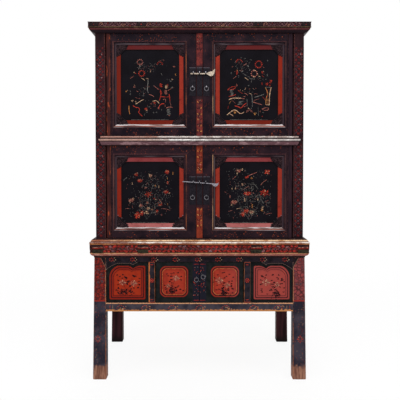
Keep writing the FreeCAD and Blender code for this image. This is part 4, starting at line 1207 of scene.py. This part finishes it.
# The painted field of each door, in millimetres: rings of petals (colour, x, z, radius,
# petals, from, to), heads of blossom (colour, x, z, width, height), dabs (colour, x, z, width,
# height, turn), lines (colour, twice the width, x, z, x, z ...) and strewn leaves (x, z, width,
# height, number).
PAINTINGS = {
    ("upper", "left"): {
        "rings": ((pink, -299, 1604, 13.2, 11, 0, 360), (red, -291, 1548, 14.3, 12, 0, 360),
            (red, -199, 1592, 13.2, 6, 10, 170),),
        "dabs": ((cream, -328, 1553, 11, 6, -20), (red, -322, 1548, 9, 6, -40),
            (pink, -329, 1480, 13, 9, 80), (cream, -327, 1489, 8, 5, 80),
            (gold, -368, 1458, 12, 8, 60), (cream, -363, 1463, 5, 4, 0),
            (pink, -128, 1582, 21, 6, 8), (gold, -120, 1541, 8, 11, 0),
            (cream, -246, 1558, 7, 7, 0), (pink, -245, 1567, 9, 5, 0),
            (cream, -262, 1522, 16, 6, 0), (pink, -312, 1458, 14, 5, 0),
            (grey, -348, 1458, 8, 8, 0), (grey, -348, 1445, 7, 8, 0),
            (cream, -339, 1411, 19, 9, 50), (cream, -322, 1407, 13, 7, -10),
            (red, -271, 1370, 24, 11, 0), (cream, -267, 1363, 16, 5, 0),
            (grey, -264, 1354, 15, 6, 0), (grey, -277, 1342, 6, 10, 0),
            (pink, -244, 1396, 12, 5, 30), (red, -227, 1401, 23, 9, -30),
            (pink, -206, 1375, 12, 13, 0), (grey, -191, 1365, 8, 5, 60),
            (pink, -224, 1384, 11, 5, -30), (grey, -231, 1352, 12, 6, 40),
            (grey, -216, 1353, 14, 6, 10), (red, -194, 1488, 22, 19, 0),
            (cream, -166, 1481, 25, 17, 0), (red, -161, 1489, 15, 11, 0),
            (red, -194, 1453, 16, 16, 0), (pink, -170, 1454, 25, 22, 0),
            (pink, -173, 1386, 7, 11, 0), (grey, -154, 1355, 30, 32, 0),
            (pink, -154, 1337, 16, 4, 0), (cream, -138, 1518, 14, 6, 20),
            (grey, -162, 1517, 6, 6, 0), (grey, -151, 1517, 6, 5, 0),
            (grey, -145, 1509, 16, 5, 0), (pink, -209, 1470, 16, 6, -40),
            (grey, -137, 1477, 19, 7, 25), (grey, -229, 1486, 11, 6, -30),),
        "lines": ((grey, 6.9, -259, 1517, -259, 1491, -264, 1467, -258, 1450),
            (cream, 4.5, -293, 1525, -282, 1520, -275, 1513),
            (pink, 5.3, -254, 1443, -238, 1440, -230, 1431),
            (cream, 5.8, -323, 1394, -307, 1402, -294, 1412, -281, 1417),
            (pink, 3.2, -322, 1428, -312, 1421, -298, 1422),
            (gold, 7.4, -355, 1386, -357, 1368, -351, 1344),
            (red, 7.1, -335, 1386, -320, 1376, -307, 1378, -300, 1365, -308, 1355, -301, 1344,
             -288, 1334),
            (cream, 4.8, -236, 1408, -223, 1413, -212, 1409, -203, 1398),
            (red, 7.1, -208, 1370, -202, 1387, -192, 1396, -178, 1397),
            (pink, 4.8, -231, 1488, -217, 1475, -204, 1467),
            (pink, 4.2, -130, 1479, -146, 1470, -159, 1462),
            (red, 5.8, -198, 1467, -193, 1447, -196, 1431, -202, 1412),
            (red, 5.8, -153, 1445, -150, 1426, -149, 1409), (red, 5.8, -197, 1432, -172, 1430),
            (red, 5.3, -165, 1429, -156, 1433, -147, 1429),
            (pink, 4.5, -184, 1416, -176, 1422, -169, 1415, -171, 1404),
            (pink, 3.4, -149, 1407, -144, 1386), (pink, 6.3, -167, 1374, -154, 1384, -135, 1377),
            (grey, 3.2, -299, 1590, -301, 1580, -306, 1570),
            (grey, 3.2, -193, 1549, -187, 1537), (grey, 3.2, -282, 1452, -283, 1433),
            (pink, 3.2, -349, 1522, -330, 1535),),
        "leaves": ((-256, 1577, 90, 50, 54), (-278, 1460, 50, 53, 25), (-314, 1585, 40, 34, 12),
            (-188, 1601, 48, 32, 12), (-241, 1394, 79, 45, 19),),
    },
    ("upper", "right"): {
        "rings": ((red, 199, 1603, 14.8, 7, 12, 170), (red, 297, 1593, 16.4, 13, 0, 360),
            (pink, 275, 1547, 15.3, 10, 0, 360), (pink, 251, 1352, 13.7, 7, 10, 170),
            (pink, 252, 1355, 7.4, 4, 20, 160),),
        "dabs": ((cream, 276, 1563, 17, 6, 0), (cream, 273, 1532, 13, 6, 0),
            (cream, 292, 1544, 8, 8, 0), (cream, 301, 1533, 6, 9, 70),
            (red, 189, 1551, 13, 21, 0), (gold, 189, 1563, 8, 7, 0), (red, 315, 1553, 13, 9, 35),
            (cream, 321, 1558, 9, 5, 40), (grey, 160, 1550, 12, 9, 40),
            (grey, 196, 1533, 8, 13, 0), (gold, 159, 1618, 8, 5, 0),
            (pink, 166, 1582, 13, 4, 18), (pink, 321, 1578, 13, 4, 8),
            (grey, 341, 1541, 7, 13, 0), (grey, 343, 1612, 10, 6, -20),
            (grey, 227, 1622, 13, 7, -30), (grey, 210, 1626, 13, 6, -10),
            (grey, 260, 1615, 13, 6, 10), (grey, 244, 1584, 12, 8, 0),
            (cream, 231, 1472, 8, 10, 0), (grey, 247, 1487, 14, 5, 0),
            (pink, 252, 1470, 12, 5, 0), (pink, 271, 1472, 6, 6, 0),
            (pink, 284, 1474, 13, 5, -50), (pink, 187, 1488, 24, 11, 74),
            (grey, 163, 1452, 31, 30, 0), (cream, 205, 1464, 8, 4, 80),
            (cream, 217, 1462, 9, 3, 80), (pink, 227, 1432, 20, 5, 0),
            (grey, 205, 1400, 45, 19, 10), (cream, 247, 1373, 16, 5, 0),
            (grey, 261, 1373, 9, 4, 0), (red, 358, 1507, 23, 16, 0),
            (red, 340, 1495, 23, 12, 0), (red, 315, 1496, 14, 11, 0), (red, 354, 1488, 14, 8, 0),
            (red, 341, 1458, 5, 19, -20), (red, 340, 1433, 11, 6, 0),
            (gold, 278, 1345, 17, 12, 30), (cream, 286, 1350, 6, 5, 0),
            (pink, 306, 1357, 11, 8, 20), (red, 317, 1332, 13, 6, -20),
            (grey, 321, 1352, 13, 5, 0), (grey, 252, 1567, 11, 6, -40),
            (grey, 215, 1559, 8, 11, -30), (gold, 344, 1407, 7, 29, 0),),
        "lines": ((red, 4.5, 141, 1465, 152, 1478, 179, 1484, 181, 1473, 160, 1467, 141, 1465),
            (red, 5.0, 148, 1433, 165, 1433, 183, 1443),
            (red, 3.7, 194, 1465, 203, 1450, 219, 1448),
            (cream, 7.9, 148, 1416, 163, 1425, 184, 1424, 209, 1424),
            (pink, 4.5, 209, 1424, 226, 1421),
            (red, 7.1, 177, 1385, 192, 1384, 210, 1371, 218, 1387, 237, 1400),
            (pink, 4.2, 223, 1380, 239, 1386), (gold, 2.9, 160, 1412, 150, 1397),
            (pink, 2.9, 166, 1411, 182, 1397), (red, 2.9, 146, 1385, 143, 1370),
            (cream, 7.1, 139, 1340, 154, 1353, 170, 1365, 186, 1364, 201, 1347, 215, 1347, 224, 1354),
            (cream, 6.3, 152, 1346, 160, 1343, 169, 1335), (gold, 5.3, 173, 1363, 177, 1347),
            (gold, 5.3, 184, 1360, 180, 1347), (grey, 5.3, 262, 1444, 267, 1418, 266, 1382),
            (grey, 3.2, 239, 1420, 241, 1385), (pink, 3.7, 225, 1449, 236, 1447, 243, 1438),
            (cream, 4.0, 252, 1448, 265, 1442),
            (grey, 5.8, 276, 1428, 300, 1434, 324, 1443), (pink, 3.7, 273, 1412, 300, 1421),
            (pink, 5.8, 270, 1405, 292, 1398, 314, 1391), (red, 2.9, 318, 1431, 333, 1412),
            (pink, 3.4, 273, 1443, 284, 1450, 292, 1442),
            (gold, 5.0, 331, 1478, 340, 1460, 345, 1444, 335, 1430, 334, 1391),
            (cream, 7.1, 361, 1478, 354, 1452, 352, 1431, 351, 1390),
            (cream, 4.8, 333, 1391, 352, 1390), (grey, 3.7, 331, 1479, 361, 1478),
            (pink, 4.5, 315, 1369, 329, 1377, 349, 1375, 347, 1365, 329, 1361, 315, 1369),
            (grey, 3.2, 295, 1381, 297, 1334), (cream, 4.5, 228, 1528, 245, 1515),
            (grey, 3.7, 249, 1522, 279, 1520), (grey, 2.9, 264, 1518, 259, 1501),
            (pink, 3.2, 221, 1587, 237, 1599), (pink, 3.4, 169, 1521, 186, 1535),
            (red, 2.9, 313, 1538, 324, 1530), (grey, 3.2, 215, 1549, 252, 1528),),
        "leaves": ((215, 1580, 79, 63, 64), (320, 1528, 53, 34, 16), (252, 1460, 53, 32, 12),
            (179, 1423, 58, 21, 9),),
    },
    ("lower", "left"): {
        "heads": ((red, -320, 1040, 21, 18), (red, -302, 1008, 27, 17),
            (red, -164, 1052, 24, 22), (red, -161, 998, 12, 14), (red, -258, 940, 38, 27),
            (red, -169, 951, 26, 17), (pink, -345, 909, 27, 19), (pink, -297, 882, 16, 19),
            (pink, -264, 896, 16, 10), (red, -199, 886, 21, 10), (red, -215, 854, 15, 13),
            (red, -314, 833, 32, 36), (red, -291, 843, 18, 24), (cream, -248, 1033, 18, 16),
            (cream, -260, 868, 17, 13), (cream, -241, 862, 12, 10), (cream, -269, 846, 24, 13),),
        "dabs": ((cream, -315, 1046, 10, 6, 0), (gold, -135, 1046, 11, 14, 0),
            (gold, -162, 1020, 6, 9, 0), (cream, -152, 945, 10, 9, 0),
            (cream, -352, 901, 11, 10, 0), (cream, -336, 918, 11, 9, 30),
            (cream, -301, 878, 9, 10, 0), (cream, -260, 899, 7, 5, 0),
            (red, -229, 918, 12, 9, 0), (cream, -223, 913, 7, 6, 0),
            (pink, -273, 973, 15, 9, 60), (pink, -364, 989, 7, 7, 0),
            (cream, -339, 994, 10, 11, 0), (pink, -369, 970, 6, 6, 0),
            (gold, -224, 983, 10, 10, 0), (cream, -206, 978, 7, 11, 0),
            (pink, -192, 835, 9, 10, 0), (grey, -152, 874, 9, 12, 0),
            (gold, -162, 889, 7, 10, 0), (pink, -209, 897, 6, 7, 0),),
        "lines": ((grey, 4.3, -385, 1010, -376, 1018, -366, 1024),
            (pink, 4.3, -268, 990, -263, 998), (pink, 4.3, -203, 913, -196, 903, -189, 892),
            (pink, 3.1, -375, 867, -356, 868), (pink, 3.1, -340, 882, -340, 870),
            (pink, 3.1, -193, 867, -164, 867, -149, 858), (cream, 2.8, -257, 1044, -251, 1036),
            (pink, 2.8, -239, 1042, -243, 1032),
            (grey, 1.7, -269, 813, -257, 859, -246, 910, -251, 950, -229, 995),
            (grey, 1.7, -269, 813, -291, 867, -308, 921),
            (grey, 1.7, -266, 813, -229, 867, -186, 916, -172, 944),),
        "leaves": ((-246, 995, 94, 57, 83), (-252, 924, 113, 74, 124), (-269, 859, 94, 48, 112),
            (-172, 938, 37, 62, 25), (-248, 940, 226, 236, 176),),
    },
    ("lower", "right"): {
        "heads": ((red, 342, 1052, 30, 24), (red, 241, 943, 40, 18), (red, 328, 947, 47, 32),
            (pink, 174, 899, 36, 19), (red, 236, 854, 31, 24), (red, 219, 838, 23, 24),
            (cream, 264, 849, 25, 17), (pink, 199, 1058, 27, 14),),
        "dabs": ((cream, 191, 1045, 11, 10, 0), (cream, 216, 1065, 14, 12, 0),
            (red, 236, 1025, 32, 10, 8), (red, 245, 1029, 12, 12, 0),
            (gold, 264, 1021, 16, 8, 8), (cream, 218, 990, 14, 12, 0), (red, 214, 986, 7, 7, 0),
            (pink, 154, 927, 10, 14, 0), (cream, 229, 913, 11, 20, 12),
            (cream, 296, 913, 10, 9, 0), (gold, 267, 881, 10, 19, 0),
            (cream, 318, 869, 18, 15, 0), (gold, 316, 858, 16, 10, 0),
            (cream, 182, 970, 11, 10, 0), (cream, 165, 968, 9, 9, 0), (pink, 293, 831, 7, 6, 0),
            (pink, 172, 821, 7, 7, 0), (cream, 162, 886, 11, 7, 0), (pink, 131, 950, 14, 5, -20),),
        "lines": ((pink, 6.2, 250, 1035, 267, 1041, 290, 1051),
            (pink, 3.4, 168, 1016, 185, 1032), (pink, 3.4, 226, 966, 236, 975, 250, 979),
            (pink, 3.4, 309, 986, 324, 1006, 341, 1014), (pink, 3.4, 147, 853, 166, 859),
            (pink, 3.4, 336, 838, 350, 843, 367, 843), (pink, 3.4, 332, 901, 350, 910),
            (grey, 4.8, 306, 934, 311, 913, 324, 892),
            (grey, 4.0, 271, 998, 284, 984, 297, 965), (cream, 3.4, 188, 867, 208, 867),
            (grey, 1.7, 250, 810, 245, 859, 239, 910, 227, 961, 216, 984),
            (grey, 1.7, 253, 810, 290, 867, 310, 916),
            (grey, 1.7, 250, 810, 216, 867, 188, 921),),
        "leaves": ((204, 1063, 62, 20, 22), (227, 978, 94, 40, 105), (244, 921, 119, 51, 147),
            (250, 853, 94, 54, 147), (335, 910, 48, 68, 48), (250, 940, 226, 236, 176),),
    }}


def blossom_head(brush, chance, x, z, wide, high, colour):
    """A ragged head of blossom: narrow petals that point out from its middle."""
    count = max(9, round((wide + high) * 560))
    for i in range(count):
        a = math.tau * i / count * 2.4
        out = (.16, .28, .40)[i % 3]
        tint = pink if colour == cream and i % 3 == 0 else cream if i % 9 == 4 else colour
        brush.dab(x + wide * out * math.cos(a), z + high * out * math.sin(a),
                  chance.uniform(.28, .38) * max(wide, high), chance.uniform(.0024, .0036),
                  math.degrees(a) + chance.uniform(-25, 25), tint, .0007)


def worn_dab(brush, chance, x, z, wide, high, turn, colour):
    """A patch of paint that has worn to a few strokes beside each other."""
    count = max(2, min(6, round(high / .0030)))
    a = math.radians(turn)
    for i in range(count):
        off = high * ((i + .5) / count - .5)
        brush.dab(x - off * math.sin(a) + chance.uniform(-.1, .1) * wide, z + off * math.cos(a),
                  wide * chance.uniform(.55, .95), high / count * .72,
                  turn + chance.uniform(-9, 9), colour, .0007, 8)


for (tier, side), painting in PAINTINGS.items():
    _, cz, _, hz, y = panel_opening(tier)
    brush = Brush(y + .003)
    chance = random.Random(len(painting["lines"]) + 5)
    for x, z, wide, high, count in painting["leaves"]:
        for _ in range(count):
            brush.dab((x + wide * chance.uniform(-.5, .5)) / 1000,
                      (z + high * chance.uniform(-.5, .5)) / 1000, chance.uniform(.0038, .0070),
                      chance.uniform(.0014, .0023), chance.uniform(0, 180),
                      chance.choice((grey,) * 7 + (pink,)), .0004, 6)
    for colour, width, *run in painting["lines"]:
        brush.line([(run[i] / 1000, run[i + 1] / 1000) for i in range(0, len(run), 2)],
                   width / 2000, colour)
    for colour, x, z, radius, petals, start, end in painting.get("rings", ()):
        brush.ring(x / 1000, z / 1000, radius / 1000, petals, colour, start, end)
    for colour, x, z, wide, high in painting.get("heads", ()):
        blossom_head(brush, chance, x / 1000, z / 1000, wide / 1000, high / 1000, colour)
    for colour, x, z, wide, high, turn in painting["dabs"]:
        worn_dab(brush, chance, x / 1000, z / 1000, wide / 1000, high / 1000, turn, colour)
    edge = cz - hz + BORDER + .0012
    middle = -FIELD_MIDDLE if side == "left" else FIELD_MIDDLE
    brush.line([(middle + along, edge) for along in (-EDGE_LINE, 0, EDGE_LINE)], .0018, grey)
    brush.done("field_painting_" + tier + "_" + side,
               body_of("door_frame_" + tier + "_" + side), COLOURS)

# ---------------------------------------------------------------- iron work
# Forged iron, blackened and rubbed: plates on the meeting stiles, lock eyes, staples and
# ring pulls. Bright lines along the plates' top edges and over the eyes and staples are painted
# highlights on the rubbed iron. One lock bar is of pale metal, the other of grey iron, and each ends in
# a leaf.
PLATE_TOPS = (1.575, 1.030)
# Heights of the lock eyes and ring staples, with the colour of the painted highlight over each.
EYES_AND_STAPLES = ((1.545, 1.479, (178, 174, 182)), (1.000, .934, (116, 112, 118)))
PLATE_FRONT = -.2690


def iron(name, light, dark, size):
    finish = Finish(name)
    scale = finish.noise(size, 5)
    finish.colour = finish.mix(scale.rise(.35, .68), light, dark)
    return finish.done(.45, scale, .0003, gloss=.1)


rubbed_iron = iron("rubbed_iron", (132, 128, 134), (56, 53, 59), .003)
pale_metal = iron("pale_metal", (204, 188, 170), (150, 134, 118), .006)
grey_iron = iron("grey_iron", (160, 156, 164), (96, 92, 100), .005)

finish = Finish("black_iron")
scale = finish.noise(.004, 5)
finish.colour = finish.mix(scale.rise(.35, .7), (20, 18, 24), (36, 32, 38))
rubbed = scale.rise(.30, .45)
on_front = finish.y.rise(PLATE_FRONT, PLATE_FRONT - .0015)
# painted highlight along the plates' top edges, broken by the noise
for top in PLATE_TOPS:
    finish.lay(finish.z.band(top - .0030, top + .001, .0006) * rubbed, (80, 76, 84))
# painted highlights over the lock eyes and ring staples, broken by the noise
for eye, staple, glint_paint in EYES_AND_STAPLES:
    for low, high in ((eye + .002, eye + .012), (staple - .004, staple + .008)):
        finish.lay(finish.z.band(low, high, .001) * on_front * rubbed, glint_paint)
black_iron = finish.done(.5, scale, .0004, gloss=.05)

for side in ("left", "right"):
    dress("stand_staple_" + side, rubbed_iron)
    for tier in ("upper", "lower"):
        eased("lock_plate_" + tier + "_" + side, "iron", black_iron, .0004)
eased("centre_plates", "iron", black_iron, .0004)


def ring_pull(node):
    """A round forged ring in the place of the CAD ring."""
    low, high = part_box(node)
    wire = (high.y - low.y) / 2
    centre = (low + high) / 2
    radius = (high.z - low.z) / 2 - wire
    bm = bmesh.new()
    bmesh.ops.create_circle(bm, segments=10, radius=wire, matrix=Matrix.Translation((radius, 0, 0)))
    bmesh.ops.spin(bm, geom=bm.verts[:] + bm.edges[:], cent=(0, 0, 0), axis=(0, 1, 0),
                   angle=math.tau, steps=36, use_merge=True)
    bmesh.ops.remove_doubles(bm, verts=bm.verts, dist=1e-6)
    bmesh.ops.recalc_face_normals(bm, faces=bm.faces)
    bmesh.ops.translate(bm, verts=bm.verts, vec=centre)
    piece(node + "_forged", bm, body_of(node), "iron", [rubbed_iron], node)


for node in ("ring_upper_left", "ring_upper_right", "ring_lower_left", "ring_lower_right",
             "stand_ring_left", "stand_ring_right"):
    ring_pull(node)


def lock_bar(node, metal, leaf, x_leaf, z_leaf, turn):
    """A forged bar with a cut leaf at its right-hand end, which starts at x_leaf and z_leaf."""
    low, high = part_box(node)
    middle = (low.y + high.y) / 2
    thick = high.y - low.y
    x_mid = (low.x + x_leaf) / 2
    bm = bmesh.new()
    made = bmesh.ops.create_circle(bm, cap_ends=True, segments=len(leaf), radius=1)
    for vert, (x, z) in zip(made["verts"], leaf):
        vert.co = (x, 0, z)
    sides = bmesh.ops.extrude_face_region(bm, geom=bm.faces[:])["geom"]
    bmesh.ops.translate(bm, verts=[g for g in sides if isinstance(g, bmesh.types.BMVert)],
                        vec=(0, thick * .7, 0))
    bmesh.ops.translate(bm, verts=bm.verts, vec=(x_leaf, -thick * .35, 0))
    shaft = bmesh.ops.create_cone(bm, cap_ends=True, segments=12, radius1=thick / 2,
                                  radius2=thick / 2, depth=x_leaf - low.x - .004)["verts"]
    bmesh.ops.transform(bm, verts=shaft, matrix=Matrix.Translation((x_mid + .003, 0, 0))
                        @ Matrix.Diagonal((1, 1, 1.25, 1)) @ Matrix.Rotation(math.pi / 2, 4, "Y"))
    bmesh.ops.recalc_face_normals(bm, faces=bm.faces)
    rims = [e for e in bm.edges if e.calc_face_angle(0) > .8]
    bmesh.ops.bevel(bm, geom=rims, offset=thick * .13, affect="EDGES", segments=2, profile=.5,
                    material=-1)
    centre = Vector((x_mid, 0, 0))
    bmesh.ops.rotate(bm, verts=bm.verts, cent=centre, matrix=Matrix.Rotation(turn, 3, "Y"))
    bmesh.ops.translate(bm, verts=bm.verts, vec=(0, middle, z_leaf))
    piece(node + "_forged", bm, body_of(node), "pale_metal", [metal], node)


curled_leaf = [(0, .0024), (.006, .0070), (.015, .0105), (.024, .0110), (.031, .0175),
               (.0395, .0240), (.0385, .0110), (.0350, .0015), (.031, -.0070),
               (.024, -.0125), (.014, -.0118), (.006, -.0068), (0, -.0024)]
blunt_leaf = [(0, .0022), (.010, .0022), (.021, .0018), (.028, .0045), (.0335, .0085),
              (.0325, -.0010), (.028, -.0090), (.020, -.0135), (.011, -.0125), (.004, -.0070),
              (0, -.0022)]
lock_bar("lock_bar_upper", pale_metal, curled_leaf, .0380, 1.5429, 0)
lock_bar("lock_bar_lower", grey_iron, blunt_leaf, .0620, .9995, math.radians(4.2))
